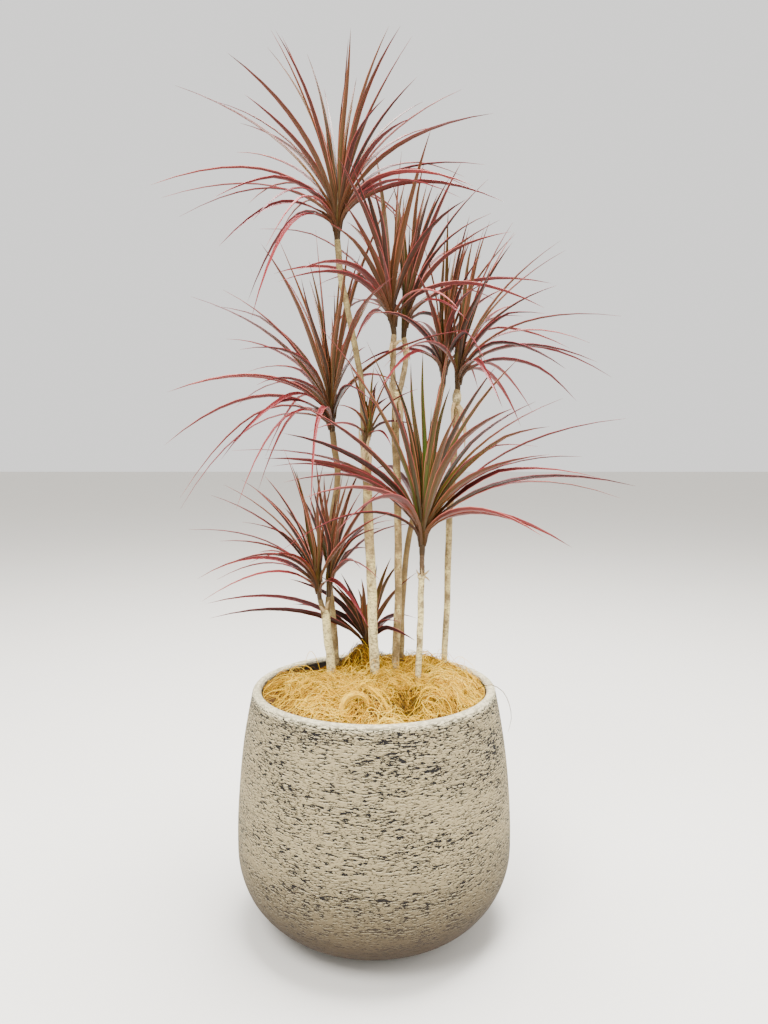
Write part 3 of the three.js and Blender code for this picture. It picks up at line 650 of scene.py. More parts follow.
def leaf_skin(settings):
    """Leaf skin: olive in the heart, maroon outwards, redder edges, and rosy old blades whose rose
    is partly a painted highlight.
    """
    f = Finish("Dracaena Leaf")
    across, along, _ = f.apart(f.on_blade())
    from_rib = f.times(f.sum("ABSOLUTE", f.sum("SUBTRACT", across, 0.5)), 2.0)
    own = f.stored("tone")
    veins = f.grain(f.on_blade((22, 1.6, 1)), 1.0, 2.0, 0.5)
    long_patch = f.grain(f.on_blade((1.2, 5, 1)), 1.3, 2.0, 0.5)
    drift = f.times(f.stored("age"), f.step(along, 0.04, 0.4, 0.35, 1.0))
    drift = f.plus(drift, f.times(f.sum("SUBTRACT", own, 0.5), 0.4))
    drift = f.plus(drift, f.times(f.sum("SUBTRACT", along, 0.35), 0.35))
    colour = f.over(settings.heart, drift, 0.22, 0.66, 1.0, settings.maroon)
    # Rosy old blades: partly their own colour, partly a painted highlight from the top light.
    colour = f.over(colour, drift, 0.66, 1.05, 0.9, settings.aged_and_lit)
    colour = f.over(colour, f.stored("green"), 0.35, 1.0, 0.75, SHADES["olive"])
    fresh = f.times(f.step(along, 0.65, 0.05), f.step(from_rib, 0.85, 0.35))
    colour = f.blend(f.times(fresh, f.stored("green")), colour, SHADES["fresh green"])
    colour = f.over(colour, veins, 0.45, 0.75, 0.3, SHADES["vein"])
    colour = f.over(colour, long_patch, 0.5, 0.8, 0.3, SHADES["red patch"])
    colour = f.blend(f.times(f.stored("under"), 0.35), colour, SHADES["underside"])
    shaded = f.sum("FRACT", f.times(own, 7.3))
    colour = f.over(colour, shaded, 0.35, 0.95, 0.72, SHADES["deep shade"])
    edge = f.over(settings.edge, own, 0.45, 1.0, 0.75, SHADES["salmon edge"])
    edge = f.over(edge, drift, 0.4, 0.1, 0.8, SHADES["ochre edge"])
    rim = f.times(f.step(from_rib, 0.74, 0.96), f.step(along, 0.04, 0.3, 0.1, 1.0))
    colour = f.blend(f.times(rim, 0.9), colour, edge)
    colour = f.over(colour, along, 0.96, 1.0, 0.8, SHADES["dry tip"])
    colour = f.blend(f.stored("foot"), colour, SHADES["leaf foot"])
    relief = f.plus(veins, f.times(from_rib, 0.2))
    roughness = f.step(own, 0.0, 1.0, 0.34, 0.5)
    return f.done(colour, roughness, f.raised(relief, 0.00022, 0.6), Specular_IOR_Level=0.22)


def dry_skin():
    """Papery dry leaf base."""
    f = Finish("Dry Sheath")
    veins = f.grain(f.on_blade((18, 1.5, 1)), 1.0, 2.0, 0.5)
    colour = f.over(SHADES["sheath"], veins, 0.35, 0.7, 1.0, SHADES["sheath streak"])
    return f.done(colour, 0.9, f.raised(veins, 0.0004))


def ground_paint(settings):
    """Plain pale floor, very faintly clouded."""
    f = Finish("Pale Floor")
    cloud = f.grain(f.place(), 3, 3.0, 0.5)
    colour = f.over(settings.ground, cloud, 0.3, 0.7, 0.08, SHADES["floor cloud"])
    return f.done(colour, 0.75)


# ---------------------------------------------------------------- pot

FOOT_ROUND = BELLY_RADIUS - FOOT_RADIUS  # radius of the round between the foot and the belly
FOOT_WAY = FOOT_ROUND * math.pi / 2  # its length along the wall's section
RIM_BASE = POT_HEIGHT - RIM_ROUND
CELL = 0.4  # height of a cell of the pit map
CELLS_ROUND = 2240
STREAKS = 620  # level streaks of pits round the wall
DOT_STEP = 0.8  # distance between two dots of a pit
SWELL = 0.25  # how far the hand-made wall swells in and out


def wall_radius(height):
    """Outer radius of the wall above the belly."""
    share = max(0.0, (height - WALL_START) / (POT_HEIGHT - WALL_START))
    return BELLY_RADIUS - (BELLY_RADIUS - RIM_RADIUS) * share * share


def foot_arc(radius, steps, lowest):
    """The round between the foot and the belly, as radii and heights."""
    arc = []
    for i in range(steps + 1):
        angle = math.radians(90 * i / steps)
        height = BELLY_HEIGHT - radius * math.cos(angle)
        if height >= lowest:
            arc.append((FOOT_RADIUS + radius * math.sin(angle), height))
    return arc


def pot_profile():
    """The pot's section, from the middle of its foot round the rim to the middle of its floor."""
    middle = wall_radius(RIM_BASE) - WALL / 2
    outer = [(wall_radius(z), z) for z in np.linspace(BELLY_HEIGHT + 1.4, RIM_BASE, 142)]
    rim = []
    for degrees in range(15, 180, 15):
        angle = math.radians(degrees)
        rim.append((middle + WALL / 2 * math.cos(angle), RIM_BASE + RIM_ROUND * math.sin(angle)))
    inner = [(wall_radius(z) - WALL, z) for z in np.linspace(RIM_BASE, STRAIGHT_FROM, 18)]
    return [
        (0.0, 0.0), (FOOT_RADIUS * 0.55, 0.0),
        *foot_arc(FOOT_ROUND, 104, 0), *outer, *rim, *inner,
        *foot_arc(FOOT_ROUND - WALL, 8, FLOOR)[::-1],
        (FOOT_RADIUS * 0.5, FLOOR), (0.0, FLOOR),
    ]


def way_up(height):
    """Way along the wall's section from the foot, for a height."""
    turned = np.arccos(np.clip((BELLY_HEIGHT - height) / FOOT_ROUND, 0, 1))
    return np.where(height < BELLY_HEIGHT, FOOT_ROUND * turned, FOOT_WAY + height - BELLY_HEIGHT)


def pit_dots(top):
    """Dots of short wavy pits, lined up in broken level streaks: turn, way up and size of each."""
    rng = np.random.default_rng(20)
    turns, ways, sizes = [], [], []
    for _ in range(STREAKS):
        way = top * rng.random() ** 0.72
        turn, end = rng.uniform(0, 2 * math.pi), rng.uniform(25, 150)
        tilt = rng.normal(0, 0.035)
        gone = 0.0
        while gone < end:
            length = rng.gamma(2.0, 1.9)
            lift = rng.normal(0, 1.6)
            size = rng.uniform(0.4, 0.8)
            steps = max(1, int(length / DOT_STEP))
            bend = np.cumsum(rng.normal(0, 0.22, steps))
            run = gone + np.arange(steps) * DOT_STEP
            turns.append(turn + run / BELLY_RADIUS)
            ways.append(way + tilt * run + lift + bend)
            sizes.append(size * rng.uniform(0.75, 1.25, steps))
            gone += length + rng.gamma(1.6, 2.2)
    return (np.concatenate(part) for part in (turns, ways, sizes))


def pit_map():
    """Coverage of the wall by pits, in cells up and round it."""
    top = FOOT_WAY + POT_HEIGHT - BELLY_HEIGHT
    cover = np.zeros((int(top / CELL) + 8, CELLS_ROUND), dtype=np.float32)
    turns, ways, sizes = pit_dots(top)
    rows, columns = ways / CELL, turns / (2 * math.pi) * CELLS_ROUND
    wide = 2 * math.pi * BELLY_RADIUS / CELLS_ROUND
    for down in range(-3, 4):
        for across in range(-3, 4):
            row = np.floor(rows).astype(int) + down
            column = np.floor(columns).astype(int) + across
            away = np.hypot((row + 0.5 - rows) * CELL, (column + 0.5 - columns) * wide)
            value = np.clip(1.5 - away / sizes, 0, 1)
            inside = (row >= 0) & (row < len(cover))
            spots = (row[inside], column[inside] % CELLS_ROUND)
            np.maximum.at(cover, spots, value[inside].astype(np.float32))
    cover = sum(np.roll(cover, k, axis=0) for k in (-1, 0, 1)) / 3
    return sum(np.roll(cover, k, axis=1) for k in range(-2, 3)) / 5


class DRACAENA_OT_pot(bpy.types.Operator):
    """Turn the cement pot and press its pits"""

    bl_idname = "dracaena.pot"
    bl_label = "Pot"

    def execute(self, context):
        settings = context.scene.dracaena_pot
        put_down()
        bpy.ops.mesh.primitive_circle_add(vertices=3, radius=MM)
        obj = new_piece("cement_pot")
        bpy.ops.object.mode_set(mode="EDIT")
        bpy.ops.mesh.select_all(action="SELECT")
        bpy.ops.mesh.merge(type="CENTER")
        section = pot_profile()
        for (r0, z0), (r1, z1) in zip(section, section[1:]):
            step = ((r1 - r0) * MM, 0, (z1 - z0) * MM)
            bpy.ops.mesh.extrude_region_move(TRANSFORM_OT_translate={"value": step})
        bpy.ops.mesh.select_all(action="SELECT")
        bpy.ops.mesh.spin(
            steps=settings.columns, angle=2 * math.pi, center=(0, 0, 0), axis=(0, 0, 1))
        bpy.ops.mesh.select_all(action="SELECT")
        bpy.ops.mesh.remove_doubles(threshold=0.00002)
        bpy.ops.mesh.normals_make_consistent(inside=False)
        bpy.ops.object.mode_set(mode="OBJECT")
        self.press_pits(obj.data, settings.relief)
        pick(obj)
        bpy.ops.object.shade_smooth()
        dress(obj, cement(settings), "pot", "pot")
        return {"FINISHED"}

    def press_pits(self, mesh, relief):
        """Sinks the pits into the outer wall, and gives all of it a faint hand-made swell."""
        places = places_of(mesh)
        x, y, z = places.T / MM
        radius = np.hypot(x, y)
        turn = np.arctan2(y, x)
        wall = np.array([wall_radius(one) - WALL * 0.7 for one in z])
        on_foot = np.abs(np.hypot(radius - FOOT_RADIUS, z - BELLY_HEIGHT) - FOOT_ROUND) < 1
        outer = np.where(z < BELLY_HEIGHT, on_foot & (z > 0.5), radius > wall)
        cover = pit_map()
        row = np.clip((way_up(z) / CELL).astype(int), 0, len(cover) - 1)
        column = (turn / (2 * math.pi) * CELLS_ROUND).astype(int) % CELLS_ROUND
        pit = cover[row, column] * outer
        inner = (radius < wall) & (z > SOIL_TOP - 60)
        swell = np.sin(3 * turn + z * 0.021) * np.sin(z * 0.034 + 1.1)
        swell = swell + 0.5 * np.sin(7 * turn - z * 0.05)
        sink = relief / MM * np.clip(pit * 1.6, 0, 1) + SWELL * (swell + 1.5) * outer
        scale = 1 - sink / np.maximum(radius, 20)
        places[:, 0] *= scale
        places[:, 1] *= scale
        put_places(mesh, places)
        put_values(mesh, pit=pit, inside=inner)


# ---------------------------------------------------------------- mulch

# What the loose fibre does besides the solids' dome: lumps and hollows, x, y, rise and spread.
LUMPS = [
    (-12, -98, 17, 22), (44, -82, -10, 13), (46, -102, -11, 13), (43, -120, -8, 12),
    (92, -48, 7, 26), (-66, -86, 6, 26), (16, -34, 5, 20), (-100, -10, 3, 24),
    (105, 20, 4, 22), (-82, 100, -11, 38), (-86, 46, -8, 32), (20, 104, -10, 20),
    (80, -88, 5, 18), (-40, -120, -3, 14), (-18, 46, 14, 15), (-34, 56, 5, 15),
]
# Where shade is painted besides its hollows: x, y, how dark, area, and how much shorter along y.
SHADED_SPOTS = [
    (-78, 106, 1.0, 1300, 1.0), (20, 104, 1.0, 350, 1.0), (-20, -113, 0.5, 140, 1.5),
    (-14, 46, 0.6, 520, 1.0), (45, -95, 0.9, 230, 0.3),
]
LAYERS = (1.0, 1.0, 0.75, 0.5)  # strands in each layer, against the settings' count
STRAND_STEPS = 12  # points on a strand
MIDDLE = STRAND_STEPS // 2
WISP = 16  # strands that lie together
BED_RINGS = 34
CURL_AT = (-20, -114, 317)
CURL_RADIUS = 15.5
CURL_STRANDS = 300
CURL_LIGHT = 140  # degrees round the curl, from the right, to its brightest side
# One long dark hair that has sprung out over the rim.
HAIR = [
    (128, -20, 308), (148, -26, 319), (164, -34, 313), (172, -38, 298), (175, -40, 280),
    (171, -41, 262),
]
HAIR_RADIUS = 0.0006
CURL_STRAND_RADIUS = 0.00034


def inside_radius(height):
    """Radius of the pot's inside at a height near its rim, as in the solids."""
    levels = [STRAIGHT_FROM + (RIM_BASE - STRAIGHT_FROM) * i / 3 for i in range(4)]
    for low, high in zip(levels, levels[1:]):
        if height <= high:
            share = (height - low) / (high - low)
            return (1 - share) * wall_radius(low) + share * wall_radius(high) - WALL
    return wall_radius(height) - WALL


def coir_top(x, y):
    """Height of the fibre's surface, as in the solids: a low dome with clumps and ripples."""
    edge = inside_radius(COIR_EDGE)
    share = np.minimum(1, (x * x + y * y) / (edge * edge))
    height = COIR_EDGE + COIR_CROWN * (1 - share * share)
    for clump_x, clump_y, rise, spread in CLUMPS:
        away = ((x - clump_x) ** 2 + (y - clump_y) ** 2) / (spread * spread)
        height = height + rise * np.exp(-away)
    broad = np.sin(x * 0.19 + 1.3) * np.sin(y * 0.17 + 0.4)
    fine = 0.6 * np.sin(x * 0.41 + y * 0.33)
    return height + COIR_RIPPLE * (broad + fine) * (1 - share)


def fluff(x, y):
    """How far the loose surface stands above or below the solids' dome."""
    rise = 0.0
    for lump_x, lump_y, height, spread in LUMPS:
        away = ((x - lump_x) ** 2 + (y - lump_y) ** 2) / (spread * spread)
        rise = rise + height * np.exp(-away)
    edge = inside_radius(COIR_EDGE)
    rough = np.sin(x * 0.11 + 2 * np.sin(y * 0.07)) * np.sin(y * 0.13 + 1.7 * np.sin(x * 0.05))
    return (rise + 1.8 * rough) * np.clip((edge - np.hypot(x, y)) / 18, 0, 1)


def gloom(x, y):
    """1 in the hollows and shaded spots, where shade is painted on the fibre, and 0 on the open
    surface.
    """
    dark = np.clip(-fluff(x, y) / 8, 0, 1)
    for spot_x, spot_y, depth, area, shorter in SHADED_SPOTS:
        away = ((x - spot_x) ** 2 + shorter * (y - spot_y) ** 2) / area
        dark = dark + depth * np.exp(-away)
    return np.clip(dark, 0, 1)


def strand_pattern():
    """A three-sided strand, modelled once: a rod that is cut into short lengths."""
    put_down()
    bpy.ops.mesh.primitive_cylinder_add(vertices=3, radius=1, depth=1, end_fill_type="NGON")
    obj = new_piece("strand_pattern")
    bpy.ops.object.mode_set(mode="EDIT")
    lengths = STRAND_STEPS - 1
    for i in range(1, lengths):
        bpy.ops.mesh.select_all(action="SELECT")
        bpy.ops.mesh.bisect(plane_co=(0, 0, i / lengths - 0.5), plane_no=(0, 0, 1))
    bpy.ops.object.mode_set(mode="OBJECT")
    return Pattern(obj)


def lay_strands(name, pattern, lines, radii, tones):
    """Lays one strand along each line. lines is (strands, points, 3), radii one for each."""
    along = pattern.points[:, 2] + 0.5
    rows = np.rint(along * (STRAND_STEPS - 1)).astype(int)
    ahead = unit(np.gradient(lines, axis=1))
    side = unit(np.cross(ahead, np.array([0.13, 0.21, 1.0])))
    lift = np.cross(side, ahead)
    thin = 1 - 0.7 * (np.arange(STRAND_STEPS) / (STRAND_STEPS - 1)) ** 3
    wide = radii[:, None] * thin[None, :]
    copies = (
        lines[:, rows]
        + side[:, rows] * (pattern.points[:, 0] * wide[:, rows])[..., None]
        + lift[:, rows] * (pattern.points[:, 1] * wide[:, rows])[..., None]
    )
    across = pattern.points[:, 0] * 0.5 + 0.5
    obj = pattern.laid(name, copies, across, along)
    put_values(obj.data, tone=np.repeat(tones, len(pattern.points)))
    return obj


class DRACAENA_OT_mulch(bpy.types.Operator):
    """Heap the coconut fibre over the soil"""

    bl_idname = "dracaena.mulch"
    bl_label = "Mulch"

    def execute(self, context):
        settings = context.scene.dracaena_mulch
        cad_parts["soil"].data.materials.clear()
        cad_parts["soil"].data.materials.append(potting_soil())
        self.bed(settings)
        pattern = strand_pattern()
        fibre = coir_fibre(settings)
        hair = np.array([smooth_line(HAIR, STRAND_STEPS)]) * MM
        pieces = {f"coir_fibre_{i + 1}": self.tangle(settings, i) for i in range(len(LAYERS))}
        pieces["coir_curl"] = self.curl()
        pieces["stray_fibre"] = hair, np.array([HAIR_RADIUS]), np.zeros(1)
        for name, (lines, radii, tones) in pieces.items():
            dress(lay_strands(name, pattern, lines, radii, tones), fibre, "coir")
        return {"FINISHED"}

    def bed(self, settings):
        """The felted body of the mulch, a dome that reaches the wall."""
        edge = (inside_radius(COIR_EDGE) - 2 * GAP) * MM
        put_down()
        bpy.ops.mesh.primitive_circle_add(vertices=120, radius=edge, fill_type="NGON")
        obj = new_piece("coir_bed")
        bpy.ops.object.mode_set(mode="EDIT")
        bpy.ops.mesh.select_all(action="SELECT")
        for _ in range(BED_RINGS):
            bpy.ops.mesh.inset(thickness=edge / (BED_RINGS + 1.5))
        bpy.ops.mesh.poke()
        bpy.ops.mesh.select_all(action="DESELECT")
        bpy.ops.object.mode_set(mode="OBJECT")
        places = places_of(obj.data)
        x, y = places[:, 0] / MM, places[:, 1] / MM
        tops = coir_top(x, y) + fluff(x, y)
        for i in range(len(places)):
            spot = Vector((x[i] * 0.07, y[i] * 0.07, 0.0))
            rough = 2.6 * noise.noise(spot) + 2.0 * noise.noise(spot * 2.7)
            inner = 1 - min(1.0, math.hypot(x[i], y[i]) / (edge / MM)) ** 8
            tops[i] += (rough - 3.5) * inner
        places[:, 2] = np.maximum(tops, SOIL_TOP + 2) * MM
        put_places(obj.data, places)
        put_values(obj.data, gloom=gloom(x, y))
        pick(obj)
        bpy.ops.object.mode_set(mode="EDIT")
        bpy.ops.mesh.select_all(action="SELECT")
        bpy.ops.mesh.normals_make_consistent(inside=False)
        bpy.ops.mesh.select_all(action="DESELECT")
        bpy.ops.mesh.select_non_manifold(use_boundary=True)
        drop = (SOIL_TOP + 1 - COIR_EDGE) * MM
        bpy.ops.mesh.extrude_region_move(TRANSFORM_OT_translate={"value": (0, 0, drop)})
        bpy.ops.mesh.edge_face_add()
        bpy.ops.mesh.select_all(action="SELECT")
        bpy.ops.mesh.normals_make_consistent(inside=False)
        bpy.ops.object.mode_set(mode="OBJECT")
        bpy.ops.object.shade_smooth()
        dress(obj, coir_bed(settings), "coir", "coir_mulch")

    def tangle(self, settings, layer):
        """Curled strands in wisps laid over the dome, the later layers looser, and brighter as the
        earlier ones are darkened with painted shade beneath them.
        """
        rng = np.random.default_rng(311 + layer)
        count, steps = int(settings.strands * LAYERS[layer]), STRAND_STEPS
        wisps = count // WISP
        wisp = rng.integers(0, wisps, count)
        edge = inside_radius(COIR_EDGE) - 2.0
        reach = edge * np.sqrt(rng.random(wisps)) * 0.98
        turn = rng.random(wisps) * 2 * math.pi
        centre = np.stack([reach * np.cos(turn), reach * np.sin(turn)], axis=1)
        length = rng.uniform(22, 56 + 12 * layer, count)
        spread = rng.normal(0, 7.5, (count, 2))
        curl = rng.choice([-1, 1], wisps) / rng.uniform(11, 42, wisps)
        curl = curl[wisp] * rng.uniform(0.5, 1.5, count) + rng.normal(0, 0.012, count)
        heading = (rng.random(wisps) * 2 * math.pi)[wisp] + rng.normal(0, 0.55, count)
        wave = rng.uniform(0, 2 * math.pi, count)
        flat = np.empty((count, steps, 2))
        flat[:, 0] = centre[wisp] + spread
        for i in range(1, steps):
            heading = heading + (curl + 0.03 * np.sin(wave + i * 0.9)) * length / steps
            pace = np.stack([np.cos(heading), np.sin(heading)], axis=1)
            flat[:, i] = flat[:, i - 1] + pace * (length / steps)[:, None]
        away = np.hypot(flat[..., 0], flat[..., 1])
        flat *= np.minimum(1, edge / np.maximum(away, 1e-6))[..., None]
        share = np.linspace(0, 1, steps)[None, :]
        hump = rng.gamma(1.3, 1.5 + 0.7 * layer, count)[:, None] * np.sin(math.pi * share) ** 1.5
        low = rng.normal(-1.2 + 0.7 * layer, 1.2, wisps)[wisp] + rng.uniform(-1.0, 1.0, count)
        wobble = 0.8 * np.sin(share * 9 + wave[:, None])
        rise = np.maximum(-2.4, low[:, None] + hump + wobble)
        x, y = flat[..., 0], flat[..., 1]
        near_edge = np.clip((edge - np.hypot(x, y)) / 12, 0, 1)
        tops = coir_top(x, y) + fluff(x, y) + rise * (0.4 + 0.6 * near_edge)
        lines = np.concatenate([flat, tops[..., None]], axis=2) * MM
        radii = settings.thickness * 0.5 * rng.uniform(0.55, 1.3, count) * (0.9 + 0.1 * layer)
        x, y = x[:, MIDDLE], y[:, MIDDLE]
        # Painted shade: strands in the lower layers, in the hollows and in the shaded spots get
        # darker tones. The tones also darken towards the back.
        tones = 0.2 + 0.22 * layer + rng.normal(0, 0.16, wisps)[wisp] + rng.normal(0, 0.28, count)
        tones -= 0.75 * gloom(x, y) + 0.46 * np.clip((y - 5) / 50, 0, 1)
        return lines, radii, np.clip(tones, 0, 1)

    def curl(self):
        """The round curl in front, wound of fibres that lie side by side on a leaning ring."""
        rng = np.random.default_rng(7)
        count = CURL_STRANDS
        start = rng.uniform(0, 2 * math.pi, count)
        sweep = rng.uniform(0.7, 2.4, count)
        share = np.linspace(0, 1, STRAND_STEPS)[None, :]
        turn = start[:, None] + sweep[:, None] * share
        uncoil = rng.normal(0, 3.2, (count, 1)) * (share - 0.5)
        radius = rng.normal(CURL_RADIUS, 1.7, count)[:, None] + uncoil
        radius = radius + rng.normal(0, 0.9, (count, 1)) * np.sin(2 * turn)
        x = CURL_AT[0] + rng.normal(0, 0.9, (count, 1)) + radius * np.cos(turn)
        out = rng.uniform(-2, 4.5, count)[:, None] - np.abs(radius - CURL_RADIUS) * 0.5
        y = CURL_AT[1] + 0.35 * radius * np.sin(turn) - 0.85 * out
        z = CURL_AT[2] + 0.98 * radius * np.sin(turn) + 0.5 * out
        lines = np.stack([x, y, z], axis=2) * MM
        radii = CURL_STRAND_RADIUS * rng.uniform(0.6, 1.3, count)
        # Painted light: fibres on the curl's side towards CURL_LIGHT get lighter tones, those on
        # the far side darker.
        facing = np.cos(turn[:, MIDDLE] - math.radians(CURL_LIGHT))
        tones = np.clip(rng.normal(0.64, 0.22, count) + 0.26 * facing, 0, 1)
        return lines, radii, tones


def smooth_line(points, count):
    """Even points on a smooth line through the given ones."""
    points = np.array(points, dtype=float)
    padded = np.vstack([2 * points[0] - points[1], points, 2 * points[-1] - points[-2]])
    fine = []
    for i in range(len(points) - 1):
        p0, p1, p2, p3 = padded[i:i + 4]
        square = 2 * p0 - 5 * p1 + 4 * p2 - p3
        cube = 3 * p1 - p0 - 3 * p2 + p3
        for t in np.linspace(0, 1, 24, endpoint=False):
            fine.append(0.5 * (2 * p1 + (p2 - p0) * t + square * t * t + cube * t ** 3))
    fine.append(points[-1])
    fine = np.array(fine)
    gone = np.concatenate([[0], np.cumsum(np.linalg.norm(np.diff(fine, axis=0), axis=1))])
    wanted = np.linspace(0, gone[-1], count)
    return np.stack([np.interp(wanted, gone, fine[:, axis]) for axis in range(3)], axis=1)


# ---------------------------------------------------------------- canes

# Bark colours up each stem: height in mm and colour.
BARK = {
    "cane_a": [
        [(300, 0xF0E2A8), (430, 0xE2D094), (490, 0xA68E5E), (600, 0x937846), (624, 0xC2B183)],
        [(600, 0x776539), (700, 0x7C693C), (800, 0x8C7A4C), (885, 0x806F43)],
    ],
    "cane_b": [[(300, 0xA08C60), (450, 0x84693F), (600, 0x7A6238), (645, 0x5E4726)]],
    "cane_c": [
        [(300, 0xC4AE78), (400, 0xA48A58), (560, 0x94784C), (690, 0x947A4C)],
        [(680, 0x9E8860), (770, 0x887048)],
        [(680, 0x9E8860), (768, 0x887048)],
    ],
    "cane_d": [[(300, 0x927A4A), (480, 0x7A6238), (710, 0x705830)]],
    "cane_e": [
        [(300, 0xF0E2A8), (400, 0xD8C68C), (462, 0xD2C084)],
        [(440, 0x573C22), (489, 0x432F1A)],
    ],
    "cane_f": [
        [(300, 0xECDFA6), (412, 0xC8B67C)],
        [(398, 0x715E36), (426, 0x5F4B2B)],
        [(398, 0x715E36), (428, 0x5F4B2B)],
    ],
    "cane_g": [[(300, 0xE2D49C), (400, 0xB8A470), (560, 0x9E8A5C), (700, 0x8E784A)]],
    "cane_h": [[(300, 0xB49D6E), (340, 0x6D4E30)]],
}
# Ring knots: height, radius, half height and colour.
KNOTS = {
    "cane_a": (615, 7.2, 9, 0xB5A274),
    "cane_c": (688, 6.6, 7, 0xB09A6C),
    "cane_e": (459, 5.8, 3, 0xD2C290),
    "cane_g": (688, 6.0, 6, 0xC4B484),
}
ROD_ROUNDNESS = 5  # steps in a quarter of a rod's girth, less one
STEM_STEP = 1.1  # distance between two rings of a stem, in mm
SCAR_SPREAD = 0.75
END_ROUND = 3.5  # length of a stem's rounded end
CALM_END = 20  # length over which a stem's sway dies out


def rod(name, line, radii):
    """A rod along a line, swelling and thinning with its radii: a bevelled path made a mesh."""
    put_down()
    bpy.ops.curve.primitive_nurbs_path_add()
    obj = new_piece(name)
    path = obj.data
    path.splines.clear()
    spline = path.splines.new("POLY")
    spline.points.add(len(line) - 1)
    spline.points.foreach_set("co", np.c_[line, np.ones(len(line))].ravel())
    spline.points.foreach_set("radius", radii)
    path.bevel_depth = 1.0
    path.bevel_resolution = ROD_ROUNDNESS
    path.use_fill_caps = True
    path.twist_mode = "MINIMUM"
    pick(obj)
    bpy.ops.object.convert(target="MESH")
    obj = bpy.context.object
    bpy.ops.object.mode_set(mode="EDIT")
    bpy.ops.mesh.select_all(action="SELECT")
    bpy.ops.mesh.remove_doubles(threshold=0.000005)
    bpy.ops.mesh.normals_make_consistent(inside=False)
    bpy.ops.object.mode_set(mode="OBJECT")
    bpy.ops.object.shade_smooth_by_angle(angle=math.radians(50))
    return obj


def ladder(stops, heights):
    """Colours at heights, between the given stops."""
    levels = [height for height, _ in stops]
    tones = np.array([tone(code) for _, code in stops])
    return np.stack([np.interp(heights, levels, tones[:, c]) for c in range(3)], axis=1)


class DRACAENA_OT_canes(bpy.types.Operator):
    """Grow the canes with their leaf scars and knots"""

    bl_idname = "dracaena.canes"
    bl_label = "Canes"

    def execute(self, context):
        settings = context.scene.dracaena_cane
        finish = bark(settings)
        for order, (name, stems) in enumerate(CANES.items()):
            parts = []
            for i, (radius, points) in enumerate(stems):
                knot = KNOTS.get(name) if i == 0 else None
                rng = np.random.default_rng(40 + 7 * order + i)
                part = self.stem(f"{name}_{i}", settings, radius, points, knot, rng)
                self.colour(part.data, BARK[name][i], knot)
                parts.append(part)
            put_down()
            for part in parts:
                part.select_set(True)
            bpy.context.view_layer.objects.active = parts[0]
            if len(parts) > 1:
                bpy.ops.object.join()
            cane = bpy.context.object
            cane.name = f"{name}_bark"
            cane.data.name = cane.name
            dress(cane, finish, "cane", name)
        return {"FINISHED"}

    def stem(self, name, settings, radius, points, knot, rng):
        """One stem: a swaying rod with leaf scars, a knot if it has one, and a rounded end."""
        length = sum(math.dist(a, b) for a, b in zip(points, points[1:]))
        count = max(8, int(length / STEM_STEP))
        line = smooth_line(points, count)
        gone = np.linspace(0, length, count)
        step = settings.scar_step / MM
        scars = np.cumsum(rng.uniform(0.6, 1.5, int(length / step) + 2) * step)
        away = np.min(np.abs(gone[:, None] - scars[None, :]), axis=1)
        scar = np.exp(-((away / SCAR_SPREAD) ** 2))
        slow = np.interp(gone, np.linspace(0, length, 14), rng.normal(0, 0.035, 14))
        width = radius * (1 + slow) + scar * settings.scar_depth / MM
        if knot:
            height, knot_radius, half, _ = knot
            share = np.exp(-(((line[:, 2] - height) / half) ** 4))
            width = width + (knot_radius - radius) * share * (1 + 0.1 * np.sin(gone * 1.9))
        end = np.clip((gone - length + END_ROUND) / END_ROUND, 0, 1)
        width = width * np.sqrt(1 - 0.8 * end ** 2)
        sway = np.interp(gone, np.linspace(0, length, 18), rng.normal(0, 0.35, 18))
        line[:, 0] += sway * np.clip((length - gone) / CALM_END, 0, 1)
        obj = rod(name, line * MM, width * MM)
        rows = np.searchsorted(line[:, 2], places_of(obj.data)[:, 2] / MM).clip(0, count - 1)
        put_values(obj.data, scar=scar[rows])
        return obj

    def colour(self, mesh, stops, knot):
        """Stores the bark's colour up the stem, with its knot's own."""
        heights = places_of(mesh)[:, 2] / MM
        shades = ladder(stops, heights)
        if knot:
            height, _, half, code = knot
            pale = np.exp(-(((heights - height) / half) ** 4))[:, None]
            shades = shades * (1 - pale) + np.array(tone(code)) * pale
        put_colours(mesh, "bark", shades)


# ---------------------------------------------------------------- leaves

MOST_CLAIMS = 4000  # stretches of canes, crowns and leaves that the room holds
BLADE_ROWS = 12
SHEATH = 2 / BLADE_ROWS  # share of the blade's rows that clasp the crown
SHEATH_DROP = 0.26  # how far below its root a blade starts to clasp, as a share of the crown
SHEATH_SINK = 2.0
FREE_FROM = 0.06  # share of the arch where the blade has left the crown
TWIST = 0.3  # how far the blades turn their breadth to the front, where 1 is all the way
TIP_THINNING = 0.4  # how much thinner a blade is at its tip, in mm
SPEARS = 5  # young leaves in a head's heart
CROWN_RINGS = 46
CROWN_FOOT = -0.045  # where the wrapped leaf bases start, as a share of the crown
LAPS = 8  # overlapping bases up a crown


def drawing(seed):
    """Seeded draws between 0 and 1, the same as in the solids."""
    state = seed * 7919

    def draw():
        nonlocal state
        state = (state * 1664525 + 1013904223) % 4294967296
        return state / 4294967296

    return draw


def within(value, low, high):
    """The value, kept between low and high."""
    return min(high, max(low, value))


def half_width(width, share):
    """Half a leaf's width at a share of its length."""
    widened = np.minimum(1, ROOT_WIDTH + WIDENING * share)
    return (width / 2) * widened * (1 - share ** TAPER)


def crown_point(head, share):
    """A point on the crown's axis."""
    lean_x, lean_y = head["lean"]
    return np.array(head["base"], dtype=float) + share * np.array([lean_x, lean_y, head["height"]])


def crown_radius(head, share):
    """Radius of the crown at a share of its height."""
    widths, rises = zip(*CROWN_PROFILE)
    return head["radius"] * np.interp(share, rises, widths)


def direction(heading, rise):
    """A way with a level heading and a rise in radians."""
    return np.array([heading[0] * math.cos(rise), heading[1] * math.cos(rise), math.sin(rise)])


